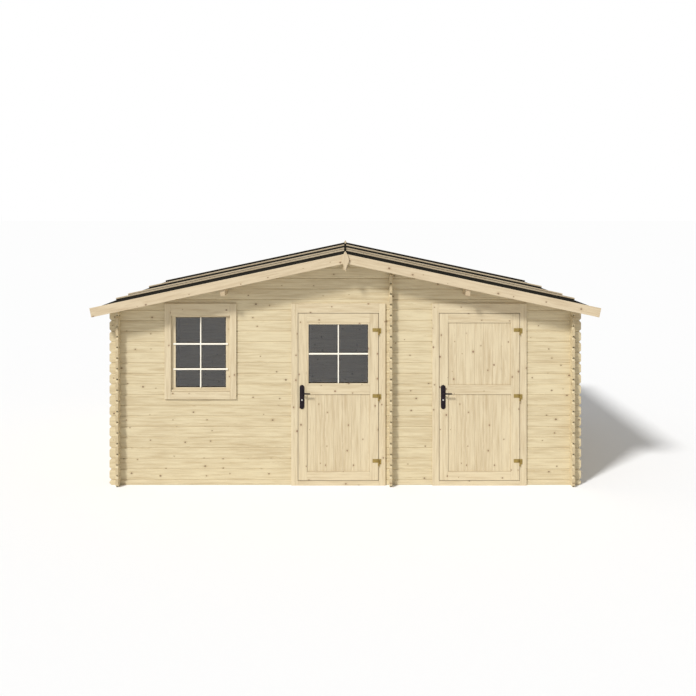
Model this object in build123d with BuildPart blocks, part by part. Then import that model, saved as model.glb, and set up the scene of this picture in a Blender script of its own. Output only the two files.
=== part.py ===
from build123d import *
from math import cos, radians, sin, tan
import os

# A garden shed of interlocking logs with two rooms, two doors and one window.
# The origin is on the ground at the middle of the shed, the front faces -Y and +Z is up.
# All sizes are in millimetres.

# Log walls
wall_thick = 28.0
log_pitch = 112.5
side_logs = 17
half_width = 2400.0
half_depth = 1650.0
log_tail = 100.0
partition_x = 480.0
groove = 6.0
end_chamfer = 17.0
door_logs = 16
cut_past = 1.0

# Roof
slope = 12.0
eave_overhang = 236.0
gable_overhang = 222.0
board_thick = 18.0
felt_thick = 3.0
batten_thick = 25.0
batten_width = 42.0
batten_places = (-847.0, -291.0, 824.0)
batten_gap = 6.0
felt_joint = 2.0
fascia_wide = 97.0
fascia_above_felt = 18.0
fascia_thick = 18.0
purlin_x = 1270.0
purlin_wide = 46.0
purlin_deep = 125.0
eave_board_deep = 60.0
eave_board_thick = 16.0

# Gable ornament
ornament_tall = 214.0
ornament_wide = 82.0
ornament_rise = 30.0
ornament_shoulder = 102.0
ornament_thick = 18.0
ornament_bow = 7.0
ornament_hollow = 4.0

# Floor
floor_top = 50.0
floor_thick = 19.0
joist_wide = 45.0
joist_count = 8

# Frames round the doors and the window
casing_thick = 18.0
casing_top = 1928.0
lining = 25.0
door_casing = 70.0
door_stop = 13.0
door_gap = 5.0

# Doors
leaf_wide = 848.0
leaf_tall = 1766.0
leaf_thick = 40.0
glazed_door_x = -73.5
solid_door_x = 1420.5
stile_wide = 91.0
top_rail = 97.0
mid_rail = 98.0
bottom_rail = 92.0
lower_panel_tall = 819.0
panel_thick = 20.0
panel_boards = 7
panel_groove = 3.0
glass_thick = 4.0
glass_rebate = 6.0
bead_wide = 18.0
bead_proud = 4.0
bar_wide = 18.0
bar_thick = 14.0

# Hinges and handles
hinge_heights = (262.0, 949.0, 1647.0)
hinge_plate_long = 62.0
hinge_plate_tall = 38.0
hinge_plate_thick = 3.0
hinge_frame_plate = 18.0
hinge_frame_gap = 2.0
hinge_bite = 1.0
knuckle_radius = 7.0
pin_radius = 4.0
pin_play = 0.3
round_sides = 12
pin_side = 3.0
pin_out = 10.0
knuckle_lower = 35.0
spindle_z = 980.0
spindle_inset = 39.0
spindle_radius = 5.0
spindle_bore = 11.0
handle_plate_tall = 255.0
handle_plate_wide = 50.0
handle_plate_thick = 7.0
handle_plate_drop = 42.0
plate_sides = 20
keyhole_drop = 73.0
keyhole_radius = 5.0
keyhole_wide = 5.0
keyhole_tall = 15.0
lever_long = 90.0
lever_root = 9.0
lever_tip = 6.0
lever_thick = 11.0
lever_stand = 45.0
neck_radius = 8.0

# Window
window_x = -1534.0
window_wide = 760.0
window_bottom = 913.0
window_side_casing = 67.0
window_top_casing = 130.0
window_bottom_casing = 80.0
sash_lap = 10.0
sash_thick = 36.0
sash_show = 47.0
sash_top_show = 20.0
sash_bottom_show = 42.0
drip_tall = 20.0
drip_proud = 8.0
window_bar_thick = 10.0
window_bar_lap = 17.0
window_bar_drops = (282.0, 549.0)

# Heights and faces that follow from the sizes above
rise = tan(radians(slope))
along = cos(radians(slope))
across = sin(radians(slope))
half_wall = wall_thick / 2
side_height = side_logs * log_pitch
ridge_under = side_height + half_width * rise
gable_bottom = log_pitch / 2 + door_logs * log_pitch
front_face = half_depth + half_wall
inner_face = half_depth - half_wall
log_end_x = half_width + log_tail
log_end_y = half_depth + log_tail
roof_run = half_width + eave_overhang
roof_end = front_face + gable_overhang
casing_front = front_face + casing_thick
casing_back = inner_face - casing_thick
leaf_bottom = floor_top + door_gap
leaf_top = leaf_bottom + leaf_tall
head_bottom = leaf_top + door_gap
leaf_back = casing_front - leaf_thick
doors = {"glazed_door": glazed_door_x, "solid_door": solid_door_x}
sides = {"left": -1, "right": 1}
ends = {"front": -1, "rear": 1}


def underside(x):
    """Height of the underside of the roof boards over a place across the shed."""
    return ridge_under - abs(x) * rise


def slope_point(side, run, lift):
    """A point on one slope, at a run out from the ridge and a lift square to the boards."""
    return (side * (run + lift * across), ridge_under - run * rise + lift * along)


def slope_profile(side, low, high):
    """Corners of a layer that lies between two lifts on one slope, from the ridge to the eave."""
    return [
        (0, ridge_under + low / along),
        slope_point(side, roof_run, low),
        slope_point(side, roof_run, high),
        (0, ridge_under + high / along),
    ]


def joint_heights(first, bottom, top):
    """Heights of the joints between logs, from the bottom of a wall to its top."""
    heights = []
    height = first
    while height <= top:
        if height >= bottom:
            heights.append(height)
        height += log_pitch
    return heights


def cut_grooves(face, joints, length_plane, start, length):
    """Cut the small V along every joint, on the outer face of a wall."""
    with BuildSketch(length_plane.offset(start)) as grooves:
        with Locations(*[(face, joint) for joint in joints]):
            RegularPolygon(groove, 4)
    extrude(grooves.sketch, amount=length, mode=Mode.SUBTRACT)


def cut_notches(places, joints):
    """Notch the joints of a wall where another wall's logs pass through it."""
    with Locations(*[(x, y, joint) for x, y in places for joint in joints]):
        Box(wall_thick, wall_thick, log_pitch / 2, mode=Mode.SUBTRACT)


def cut_log_ends(places, joints, turn):
    """Take the corners off the ends of the logs."""
    side = end_chamfer * 2 ** 0.5
    with Locations(*[Location((x, y, joint), turn) for x, y in places for joint in joints]):
        Box(side, side, wall_thick + cut_past, mode=Mode.SUBTRACT)


across_wall = (90, 0, 45)
along_wall = (0, 90, 45)


def wall_across(name, y, start, end, bottom, top, crossings, tails):
    """A log wall that runs from side to side, between two places along X."""
    joints = joint_heights(log_pitch / 2, bottom, top)
    with BuildPart() as wall:
        with Locations(((start + end) / 2, y, bottom)):
            Box(end - start, wall_thick, top - bottom, align=(Align.CENTER, Align.CENTER, Align.MIN))
        cut_grooves(y + half_wall if y > 0 else y - half_wall, joints, Plane.YZ, start, end - start)
        cut_notches([(x, y) for x in crossings], joints)
        if tails:
            cut_log_ends([(x, y) for x in tails], joints, across_wall)
    wall.part.label = name
    return wall


def wall_along(name, x, outer_face):
    """A log wall that runs from front to rear and is bevelled under the roof."""
    top = underside(abs(x) - half_wall)
    joints = joint_heights(0, 0, top)
    with BuildPart() as wall:
        with BuildSketch(Plane.XZ.offset(-log_end_y)):
            with BuildLine():
                Polyline(
                    (x - half_wall, 0),
                    (x + half_wall, 0),
                    (x + half_wall, underside(x + half_wall)),
                    (x - half_wall, underside(x - half_wall)),
                    close=True,
                )
            make_face()
        extrude(amount=2 * log_end_y)
        if outer_face:
            cut_grooves(outer_face, joints, Plane.XZ, -log_end_y, 2 * log_end_y)
        cut_notches([(x, -half_depth), (x, half_depth)], joints)
        cut_log_ends([(x, -log_end_y), (x, log_end_y)], joints, along_wall)
    wall.part.label = name
    return wall


def roof_outline(bottom):
    """Corners of the end wall's outline under the roof, from a given height."""
    return [
        (-log_end_x, bottom),
        (log_end_x, bottom),
        (log_end_x, underside(log_end_x)),
        (0, ridge_under),
        (-log_end_x, underside(log_end_x)),
    ]


def cut_gable(bottom):
    """Trim a wall to the slopes of the roof and cut the seats of the three purlins."""
    with BuildSketch(Plane.XZ.offset(-log_end_y)) as outline:
        with BuildLine():
            Polyline(*roof_outline(bottom), close=True)
        make_face()
    extrude(outline.sketch, amount=2 * log_end_y, mode=Mode.INTERSECT)
    for x in (-purlin_x, 0, purlin_x):
        with Locations((x, 0, underside(x) - purlin_deep)):
            Box(
                purlin_wide,
                2 * log_end_y,
                2 * purlin_deep,
                align=(Align.CENTER, Align.CENTER, Align.MIN),
                mode=Mode.SUBTRACT,
            )


def write(piece):
    """Write one finished piece under its own name."""
    export_step(piece.part, f"parts/{piece.part.label}.step")


os.makedirs("parts", exist_ok=True)

# Front wall below the door heads: three stretches beside and between the doors
door_half = leaf_wide / 2 + door_gap + lining
stretches = {
    "front_wall_left": (-log_end_x, glazed_door_x - door_half, [-half_width], [-log_end_x]),
    "front_wall_middle": (glazed_door_x + door_half, solid_door_x - door_half, [partition_x], []),
    "front_wall_right": (solid_door_x + door_half, log_end_x, [half_width], [log_end_x]),
}
casing_half = window_wide / 2
window_opening = casing_half - window_side_casing
pocket_half = window_opening + sash_lap
pocket_bottom = window_bottom + window_bottom_casing - sash_lap
pocket_top = casing_top - window_top_casing + sash_lap
for name, (start, end, crossings, tails) in stretches.items():
    wall = wall_across(name, -half_depth, start, end, 0, gable_bottom, crossings, tails)
    if name == "front_wall_left":
        with BuildPart() as pierced:
            add(wall.part)
            with Locations((window_x, -half_depth, pocket_bottom - lining)):
                Box(
                    2 * (pocket_half + lining),
                    wall_thick + cut_past,
                    gable_bottom,
                    align=(Align.CENTER, Align.CENTER, Align.MIN),
                    mode=Mode.SUBTRACT,
                )
        pierced.part.label = name
        wall = pierced
    write(wall)

# Front gable over the doors and the window, in one run of logs from end to end
# and the rear wall, plain logs from the ground to the ridge
end_walls = {"front_gable": (-half_depth, gable_bottom), "rear_wall": (half_depth, 0)}
for name, (y, bottom) in end_walls.items():
    logs = wall_across(
        name,
        y,
        -log_end_x,
        log_end_x,
        bottom,
        ridge_under,
        [-half_width, partition_x, half_width],
        [-log_end_x, log_end_x],
    )
    with BuildPart() as end_wall:
        add(logs.part)
        cut_gable(bottom)
    end_wall.part.label = name
    write(end_wall)

# Side walls and the partition, which start with a whole log on the ground
outer_x = half_width + half_wall
write(wall_along("left_wall", -half_width, -outer_x))
write(wall_along("right_wall", half_width, outer_x))
write(wall_along("partition_wall", partition_x, None))

# Floor boards of the two rooms, cut round the door frames, on joists that lie on the ground
rooms = {
    "floor_left": (-half_width + half_wall, partition_x - half_wall),
    "floor_right": (partition_x + half_wall, half_width - half_wall),
}
door_outer = leaf_wide / 2 + door_gap + door_casing
for name, (start, end) in rooms.items():
    with BuildPart() as floor:
        with Locations(((start + end) / 2, 0, floor_top)):
            Box(end - start, 2 * inner_face, floor_thick, align=(Align.CENTER, Align.CENTER, Align.MAX))
        with Locations(*[(x, -inner_face, floor_top) for x in doors.values()]):
            Box(2 * door_outer, 2 * casing_thick, 2 * floor_top, mode=Mode.SUBTRACT)
    floor.part.label = name
    write(floor)
joist_reach = 2 * (casing_back - joist_wide)
with BuildPart() as floor_joists:
    for start, end in rooms.values():
        with Locations(((start + end) / 2, 0, 0)):
            with GridLocations(0, joist_reach / (joist_count - 1), 1, joist_count):
                Box(
                    end - start,
                    joist_wide,
                    floor_top - floor_thick,
                    align=(Align.CENTER, Align.CENTER, Align.MIN),
                )
floor_joists.part.label = "floor_joists"
write(floor_joists)

# Purlins that carry the roof boards and show under the front and rear edges
with BuildPart() as ridge_purlin:
    with BuildSketch(Plane.XZ.offset(-roof_end)):
        with BuildLine():
            Polyline(
                (-purlin_wide / 2, ridge_under - purlin_deep),
                (purlin_wide / 2, ridge_under - purlin_deep),
                (purlin_wide / 2, underside(purlin_wide / 2)),
                (0, ridge_under),
                (-purlin_wide / 2, underside(purlin_wide / 2)),
                close=True,
            )
        make_face()
    extrude(amount=2 * roof_end)
ridge_purlin.part.label = "ridge_purlin"
write(ridge_purlin)
with BuildPart() as side_purlins:
    with BuildSketch(Plane.XZ.offset(-roof_end)):
        with BuildLine():
            Polyline(
                (purlin_x - purlin_wide / 2, underside(purlin_x) - purlin_deep),
                (purlin_x + purlin_wide / 2, underside(purlin_x) - purlin_deep),
                (purlin_x + purlin_wide / 2, underside(purlin_x + purlin_wide / 2)),
                (purlin_x - purlin_wide / 2, underside(purlin_x - purlin_wide / 2)),
                close=True,
            )
        make_face()
        mirror(about=Plane.YZ)
    extrude(amount=2 * roof_end)
side_purlins.part.label = "side_purlins"
write(side_purlins)

# Roof boards, felt battens and eave boards of each slope
felt_top = board_thick + felt_thick
batten_top = felt_top + batten_thick
fascia_top = felt_top + fascia_above_felt
for side_name, side in sides.items():
    with BuildPart() as roof_boards:
        with BuildSketch(Plane.XZ.offset(-roof_end)):
            with BuildLine():
                Polyline(*slope_profile(side, 0, board_thick), close=True)
            make_face()
        extrude(amount=2 * roof_end)
    roof_boards.part.label = f"roof_boards_{side_name}"
    write(roof_boards)
    with BuildPart() as battens:
        for y in batten_places:
            with BuildSketch(Plane.XZ.offset(-y - batten_width / 2)):
                with BuildLine():
                    Polyline(
                        slope_point(side, batten_gap, felt_top),
                        slope_point(side, roof_run, felt_top),
                        slope_point(side, roof_run, batten_top),
                        slope_point(side, batten_gap, batten_top),
                        close=True,
                    )
                make_face()
            extrude(amount=batten_width)
    battens.part.label = f"roof_battens_{side_name}"
    write(battens)
    with BuildPart() as eave_board:
        with BuildSketch(Plane.XZ.offset(-roof_end)):
            with BuildLine():
                Polyline(
                    slope_point(side, roof_run, 0),
                    slope_point(side, roof_run - eave_board_thick, 0),
                    slope_point(side, roof_run - eave_board_thick, -eave_board_deep),
                    slope_point(side, roof_run, -eave_board_deep),
                    close=True,
                )
            make_face()
        extrude(amount=2 * roof_end)
    eave_board.part.label = f"eave_board_{side_name}"
    write(eave_board)

# Felt in four strips that run over the ridge, with their edges under the battens
felt_edges = [-roof_end, *batten_places, roof_end]
with BuildPart() as roof_felt:
    for number in range(len(felt_edges) - 1):
        start = felt_edges[number] + (felt_joint / 2 if number else 0)
        end = felt_edges[number + 1] - (felt_joint / 2 if number < len(batten_places) else 0)
        with BuildSketch(Plane.XZ.offset(-end)):
            with BuildLine():
                Polyline(
                    (0, ridge_under + board_thick / along),
                    slope_point(1, roof_run, board_thick),
                    slope_point(1, roof_run, felt_top),
                    (0, ridge_under + felt_top / along),
                    slope_point(-1, roof_run, felt_top),
                    slope_point(-1, roof_run, board_thick),
                    close=True,
                )
            make_face()
        extrude(amount=end - start)
roof_felt.part.label = "roof_felt"
write(roof_felt)

# Wind boards that close the ends of the roof, cut plumb at the ridge and square at the eave
for end_name, end in ends.items():
    for side_name, side in sides.items():
        with BuildPart() as fascia:
            with BuildSketch(Plane.XZ.offset(-end * roof_end)):
                with BuildLine():
                    Polyline(*slope_profile(side, fascia_top - fascia_wide, fascia_top), close=True)
                make_face()
            extrude(amount=-end * fascia_thick)
        fascia.part.label = f"{end_name}_fascia_{side_name}"
        write(fascia)

# Ornament that covers the joint of the wind boards: bowed above and hollow below
ornament_top = ridge_under + fascia_top / along + ornament_rise
ornament_waist = ornament_top - ornament_shoulder
ornament_point = ornament_top - ornament_tall
for end_name, end in ends.items():
    with BuildPart() as ornament:
        with BuildSketch(Plane.XZ.offset(-end * (roof_end + fascia_thick))):
            with BuildLine():
                upper = ThreePointArc(
                    (0, ornament_top),
                    (ornament_wide / 4 + ornament_bow, (ornament_top + ornament_waist) / 2),
                    (ornament_wide / 2, ornament_waist),
                )
                ThreePointArc(
                    upper @ 1,
                    (ornament_wide / 4 - ornament_hollow, (ornament_waist + ornament_point) / 2),
                    (0, ornament_point),
                )
                mirror(about=Plane.YZ)
            make_face()
        extrude(amount=-end * ornament_thick)
    ornament.part.label = f"{end_name}_ornament"
    write(ornament)

# Window frame: a casing outside, a lining in the wall and a casing inside, in one ring
with BuildPart() as window_frame:
    casing_tall = casing_top - window_bottom
    with Locations((window_x, -front_face, window_bottom)):
        Box(window_wide, casing_thick, casing_tall, align=(Align.CENTER, Align.MAX, Align.MIN))
    with Locations((window_x, -inner_face, window_bottom)):
        Box(window_wide, casing_thick, casing_tall, align=(Align.CENTER, Align.MIN, Align.MIN))
    with Locations((window_x, -half_depth, pocket_bottom - lining)):
        Box(
            2 * (pocket_half + lining),
            wall_thick,
            gable_bottom - pocket_bottom + lining,
            align=(Align.CENTER, Align.CENTER, Align.MIN),
        )
    with Locations((window_x, -front_face, pocket_bottom)):
        Box(
            2 * pocket_half,
            2 * wall_thick,
            pocket_top - pocket_bottom,
            align=(Align.CENTER, Align.MIN, Align.MIN),
            mode=Mode.SUBTRACT,
        )
    with Locations((window_x, -front_face, pocket_bottom + sash_lap)):
        Box(
            2 * window_opening,
            2 * casing_thick,
            pocket_top - pocket_bottom - 2 * sash_lap,
            align=(Align.CENTER, Align.CENTER, Align.MIN),
            mode=Mode.SUBTRACT,
        )
window_frame.part.label = "window_frame"
write(window_frame)

# Fixed sash with its drip bar, and the bars that divide it into six lights
glass_half = window_opening - sash_show
glass_bottom = pocket_bottom + sash_lap + sash_bottom_show
glass_top = pocket_top - sash_lap - sash_top_show
glass_y = -front_face + sash_thick / 2
with BuildPart() as window_sash:
    with Locations((window_x, -front_face, pocket_bottom)):
        Box(
            2 * pocket_half,
            sash_thick,
            pocket_top - pocket_bottom,
            align=(Align.CENTER, Align.MIN, Align.MIN),
        )
    with Locations((window_x, -front_face, pocket_bottom + sash_lap)):
        Box(2 * window_opening, drip_proud, drip_tall, align=(Align.CENTER, Align.MAX, Align.MIN))
    with Locations((window_x, glass_y, (glass_bottom + glass_top) / 2)):
        Box(2 * glass_half, 2 * sash_thick, glass_top - glass_bottom, mode=Mode.SUBTRACT)
        Box(
            2 * (glass_half + glass_rebate),
            glass_thick,
            glass_top - glass_bottom + 2 * glass_rebate,
            mode=Mode.SUBTRACT,
        )
    bar_depth = window_bar_thick + sash_thick / 2 - glass_thick / 2
    for drop in window_bar_drops:
        with Locations((window_x, -front_face - window_bar_thick, glass_top - drop)):
            Box(
                2 * (glass_half + window_bar_lap),
                window_bar_thick,
                bar_wide,
                align=(Align.CENTER, Align.MIN, Align.CENTER),
            )
            Box(2 * glass_half, bar_depth, bar_wide, align=(Align.CENTER, Align.MIN, Align.CENTER))
    with Locations((window_x, -front_face - window_bar_thick, glass_bottom)):
        Box(bar_wide, bar_depth, glass_top - glass_bottom, align=(Align.CENTER, Align.MIN, Align.MIN))
window_sash.part.label = "window_sash"
write(window_sash)
with BuildPart() as window_glass:
    with Locations((window_x, glass_y, (glass_bottom + glass_top) / 2)):
        Box(2 * (glass_half + glass_rebate), glass_thick, glass_top - glass_bottom + 2 * glass_rebate)
window_glass.part.label = "window_glass"
write(window_glass)

# Door frames: posts that grip the cut ends of the logs, heads that grip the gable, thresholds
opening_half = leaf_wide / 2 + door_gap
stop_back = leaf_back - door_gap
for name, x in doors.items():
    with BuildPart() as posts:
        with BuildSketch(Plane.XY):
            for side in sides.values():
                outward = Align.MIN if side > 0 else Align.MAX
                with Locations(*[(x + side * opening_half, face) for face in (-casing_front, -inner_face)]):
                    Rectangle(door_casing, casing_thick, align=(outward, Align.MIN))
                with Locations((x + side * opening_half, -half_depth)):
                    Rectangle(lining, wall_thick, align=(outward, Align.CENTER))
        extrude(amount=casing_top)
        for side in sides.values():
            with Locations((x + side * opening_half, -casing_back, floor_top)):
                Box(
                    door_stop,
                    stop_back - casing_back,
                    head_bottom - door_stop - floor_top,
                    align=(Align.MAX if side > 0 else Align.MIN, Align.MAX, Align.MIN),
                )
        with Locations((x, -half_depth, gable_bottom)):
            Box(
                2 * door_outer,
                wall_thick,
                log_pitch,
                align=(Align.CENTER, Align.CENTER, Align.MIN),
                mode=Mode.SUBTRACT,
            )
    posts.part.label = f"{name}_posts"
    write(posts)
with BuildPart() as door_heads:
    for x in doors.values():
        with Locations((x, -casing_front, head_bottom)):
            Box(
                2 * opening_half,
                casing_front - casing_back,
                casing_top - head_bottom,
                align=(Align.CENTER, Align.MIN, Align.MIN),
            )
        with Locations((x, -casing_back, head_bottom - door_stop)):
            Box(
                2 * opening_half,
                stop_back - casing_back,
                door_stop,
                align=(Align.CENTER, Align.MAX, Align.MIN),
            )
        with Locations((x, -half_depth, gable_bottom)):
            Box(
                2 * opening_half,
                wall_thick,
                log_pitch,
                align=(Align.CENTER, Align.CENTER, Align.MIN),
                mode=Mode.SUBTRACT,
            )
door_heads.part.label = "door_heads"
write(door_heads)
with BuildPart() as door_thresholds:
    with Locations(*[(x, -casing_front, 0) for x in doors.values()]):
        Box(
            2 * opening_half,
            casing_front - casing_back,
            floor_top,
            align=(Align.CENTER, Align.MIN, Align.MIN),
        )
door_thresholds.part.label = "door_thresholds"
write(door_thresholds)


def cut_opening(x, bottom, top):
    """Cut one opening through a leaf between its stiles."""
    with Locations((x, -leaf_middle, bottom)):
        Box(
            leaf_wide - 2 * stile_wide,
            2 * leaf_thick,
            top - bottom,
            align=(Align.CENTER, Align.CENTER, Align.MIN),
            mode=Mode.SUBTRACT,
        )


def add_panel(x, bottom, top):
    """Fill an opening with upright boards that meet in small V joints."""
    width = leaf_wide - 2 * stile_wide
    with BuildSketch(Plane.XY.offset(bottom)) as boards:
        with Locations((x, -leaf_middle)):
            Rectangle(width, panel_thick)
        with Locations((x, -leaf_middle - panel_thick / 2), (x, -leaf_middle + panel_thick / 2)):
            with GridLocations(width / panel_boards, 0, panel_boards - 1, 1):
                RegularPolygon(panel_groove, 4, mode=Mode.SUBTRACT)
    extrude(boards.sketch, amount=top - bottom)


def add_glazing(x, bottom, top):
    """Fill an opening with a bead round the glass and a cross of bars in front of it."""
    width = leaf_wide - 2 * stile_wide
    centre = (bottom + top) / 2
    with Locations((x, -leaf_middle - bead_proud / 2, centre)):
        Box(width, leaf_thick + bead_proud, top - bottom)
    with Locations((x, -leaf_middle, centre)):
        Box(width - 2 * bead_wide, 2 * leaf_thick, top - bottom - 2 * bead_wide, mode=Mode.SUBTRACT)
        Box(
            width - 2 * bead_wide + 2 * glass_rebate,
            glass_thick,
            top - bottom - 2 * bead_wide + 2 * glass_rebate,
            mode=Mode.SUBTRACT,
        )
    with Locations((x, -leaf_middle - glass_thick / 2, centre)):
        Box(width - 2 * bead_wide, bar_thick, bar_wide, align=(Align.CENTER, Align.MAX, Align.CENTER))
        Box(bar_wide, bar_thick, top - bottom - 2 * bead_wide, align=(Align.CENTER, Align.MAX, Align.CENTER))


# Door leaves: stiles and rails round boarded panels, the left one half glazed
leaf_middle = casing_front - leaf_thick / 2
lower_bottom = leaf_bottom + bottom_rail
lower_top = lower_bottom + lower_panel_tall
upper_bottom = lower_top + mid_rail
upper_top = leaf_top - top_rail
for name, x in doors.items():
    spindle_x = x - leaf_wide / 2 + spindle_inset
    with BuildPart() as leaf:
        with Locations((x, -leaf_middle, leaf_bottom)):
            Box(leaf_wide, leaf_thick, leaf_tall, align=(Align.CENTER, Align.CENTER, Align.MIN))
        cut_opening(x, lower_bottom, lower_top)
        cut_opening(x, upper_bottom, upper_top)
        add_panel(x, lower_bottom, lower_top)
        if name == "glazed_door":
            add_glazing(x, upper_bottom, upper_top)
        else:
            add_panel(x, upper_bottom, upper_top)
        with Locations((spindle_x, -leaf_middle, spindle_z)):
            Box(2 * spindle_bore, 2 * leaf_thick, 2 * spindle_bore, mode=Mode.SUBTRACT)
    leaf.part.label = f"{name}_leaf"
    write(leaf)
with BuildPart() as glazed_door_glass:
    with Locations((glazed_door_x, -leaf_middle, (upper_bottom + upper_top) / 2)):
        Box(
            leaf_wide - 2 * (stile_wide + bead_wide - glass_rebate),
            glass_thick,
            upper_top - upper_bottom - 2 * (bead_wide - glass_rebate),
        )
glazed_door_glass.part.label = "glazed_door_glass"
write(glazed_door_glass)

# Lift-off hinges: a plate and upper knuckle on the leaf, a plate, lower knuckle and pin on the post
for name, x in doors.items():
    leaf_edge = x + leaf_wide / 2
    pin_x = leaf_edge + pin_side
    pin_y = -casing_front - pin_out
    frame_plate_x = pin_x + knuckle_radius + hinge_frame_gap
    with BuildPart() as hinges:
        for height in hinge_heights:
            with Locations((leaf_edge, -casing_front, height)):
                Box(
                    hinge_plate_long,
                    hinge_plate_thick,
                    hinge_plate_tall,
                    align=(Align.MAX, Align.MAX, Align.CENTER),
                )
            with Locations((pin_x, -casing_front - hinge_plate_thick + hinge_bite, height)):
                Box(
                    pin_side + knuckle_radius,
                    hinge_plate_thick + hinge_bite,
                    hinge_plate_tall,
                    align=(Align.MAX, Align.MAX, Align.CENTER),
                )
            with BuildSketch(Plane.XY.offset(height - hinge_plate_tall / 2)):
                with Locations((pin_x, pin_y)):
                    RegularPolygon(knuckle_radius, round_sides)
            extrude(amount=hinge_plate_tall)
            with BuildSketch(Plane.XY.offset(height - hinge_plate_tall / 2)):
                with Locations((pin_x, pin_y)):
                    RegularPolygon(pin_radius + pin_play, round_sides, major_radius=False)
            extrude(amount=hinge_plate_tall, mode=Mode.SUBTRACT)
    hinges.part.label = f"{name}_hinges"
    write(hinges)
    with BuildPart() as hinge_pins:
        for height in hinge_heights:
            knuckle_top = height - hinge_plate_tall / 2 - pin_play
            with BuildSketch(Plane.XY.offset(knuckle_top)):
                with Locations((pin_x, pin_y)):
                    RegularPolygon(knuckle_radius, round_sides)
            extrude(amount=-knuckle_lower)
            with BuildSketch(Plane.XY.offset(knuckle_top)):
                with Locations((pin_x, pin_y)):
                    RegularPolygon(pin_radius, round_sides)
            extrude(amount=hinge_plate_tall)
            with Locations((pin_x, -casing_front, knuckle_top)):
                Box(
                    knuckle_radius + hinge_frame_gap + hinge_frame_plate,
                    hinge_plate_thick,
                    knuckle_lower / 2,
                    align=(Align.MIN, Align.MAX, Align.MAX),
                )
            with Locations((pin_x, -casing_front - hinge_plate_thick + hinge_bite, knuckle_top)):
                Box(
                    knuckle_radius + hinge_bite,
                    hinge_plate_thick + hinge_bite,
                    knuckle_lower / 2,
                    align=(Align.MIN, Align.MAX, Align.MAX),
                )
            with Locations((frame_plate_x, -casing_front, knuckle_top - knuckle_lower / 2)):
                Box(
                    hinge_frame_plate,
                    hinge_plate_thick,
                    knuckle_lower / 2 + pin_play + hinge_plate_tall,
                    align=(Align.MIN, Align.MAX, Align.MIN),
                )
    hinge_pins.part.label = f"{name}_hinge_pins"
    write(hinge_pins)

# Long handle plates with a keyhole, outside and inside, and the lever pair on its spindle
for name, x in doors.items():
    spindle_x = x - leaf_wide / 2 + spindle_inset
    plate_z = spindle_z - handle_plate_drop
    plate_reach = (handle_plate_tall - handle_plate_wide) / 2
    with BuildPart() as plates:
        for face, out in ((-casing_front, 1), (-leaf_back, -1)):
            with BuildSketch(Plane.XZ.offset(-face)):
                with Locations(*[(spindle_x, plate_z + way * plate_reach) for way in (-1, 1)]):
                    RegularPolygon(handle_plate_wide / 2, plate_sides)
                make_hull()
                with Locations((spindle_x, spindle_z)):
                    RegularPolygon(
                        spindle_radius + pin_play, round_sides, major_radius=False, mode=Mode.SUBTRACT
                    )
                with Locations((spindle_x, spindle_z - keyhole_drop)):
                    RegularPolygon(keyhole_radius, round_sides, mode=Mode.SUBTRACT)
                    Rectangle(keyhole_wide, keyhole_tall, align=(Align.CENTER, Align.MAX), mode=Mode.SUBTRACT)
            extrude(amount=out * handle_plate_thick)
    plates.part.label = f"{name}_handle_plates"
    write(plates)
    with BuildPart() as lever:
        outside = -casing_front - handle_plate_thick - pin_play
        inside = -leaf_back + handle_plate_thick + pin_play
        with Locations(Location((spindle_x, (outside + inside) / 2, spindle_z), (90, 0, 0))):
            Cylinder(spindle_radius, inside - outside + 2 * lever_stand)
        for face, out in ((outside, 1), (inside, -1)):
            with BuildSketch(Plane.XZ.offset(-face)):
                with Locations((spindle_x, spindle_z)):
                    RegularPolygon(neck_radius, round_sides)
            extrude(amount=out * lever_stand)
            with BuildSketch(Plane.XZ.offset(-face + out * lever_stand)):
                with Locations((spindle_x, spindle_z)):
                    RegularPolygon(lever_root, round_sides)
                with Locations((spindle_x + lever_long - lever_tip, spindle_z)):
                    RegularPolygon(lever_tip, round_sides)
                make_hull()
            extrude(amount=-out * lever_thick)
    lever.part.label = f"{name}_lever"
    write(lever)
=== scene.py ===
import math
import random

import bmesh
import bpy
from mathutils import Matrix, Vector


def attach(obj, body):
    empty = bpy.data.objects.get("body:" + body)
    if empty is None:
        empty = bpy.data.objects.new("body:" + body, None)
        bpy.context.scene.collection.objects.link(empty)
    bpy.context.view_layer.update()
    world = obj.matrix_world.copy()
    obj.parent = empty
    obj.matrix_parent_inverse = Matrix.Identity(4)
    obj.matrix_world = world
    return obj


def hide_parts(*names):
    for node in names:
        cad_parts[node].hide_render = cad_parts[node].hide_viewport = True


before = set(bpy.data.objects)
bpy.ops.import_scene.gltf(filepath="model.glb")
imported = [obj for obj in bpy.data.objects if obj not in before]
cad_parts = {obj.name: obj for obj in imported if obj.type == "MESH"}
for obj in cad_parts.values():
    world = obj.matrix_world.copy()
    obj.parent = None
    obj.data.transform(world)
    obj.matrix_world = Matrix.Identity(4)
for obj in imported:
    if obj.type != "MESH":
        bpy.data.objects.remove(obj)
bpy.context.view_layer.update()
bpy.context.scene.view_settings.view_transform = "Standard"

# Camera and studio
# The camera is level and square to the front, a little above the ridge, and its frame is shifted
# down to the shed. The photograph is 696 pixels a side.


def placed(name, data):
    """A new object that holds this data, put into the scene."""
    made = bpy.data.objects.new(name, data)
    bpy.context.collection.objects.link(made)
    return made


photo_side = 696
focal_pixels = 863.8
sight_pixel = (345.3, 214.7)
camera_data = bpy.data.cameras.new("camera")
camera_data.sensor_width = 36
camera_data.lens = camera_data.sensor_width * focal_pixels / photo_side
camera_data.shift_x = (photo_side / 2 - sight_pixel[0]) / photo_side
camera_data.shift_y = (sight_pixel[1] - photo_side / 2) / photo_side
camera = placed("camera", camera_data)
camera.location = (0, -10.824, 2.867)
camera.rotation_euler = (math.radians(90), 0, 0)
bpy.context.scene.camera = camera

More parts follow.
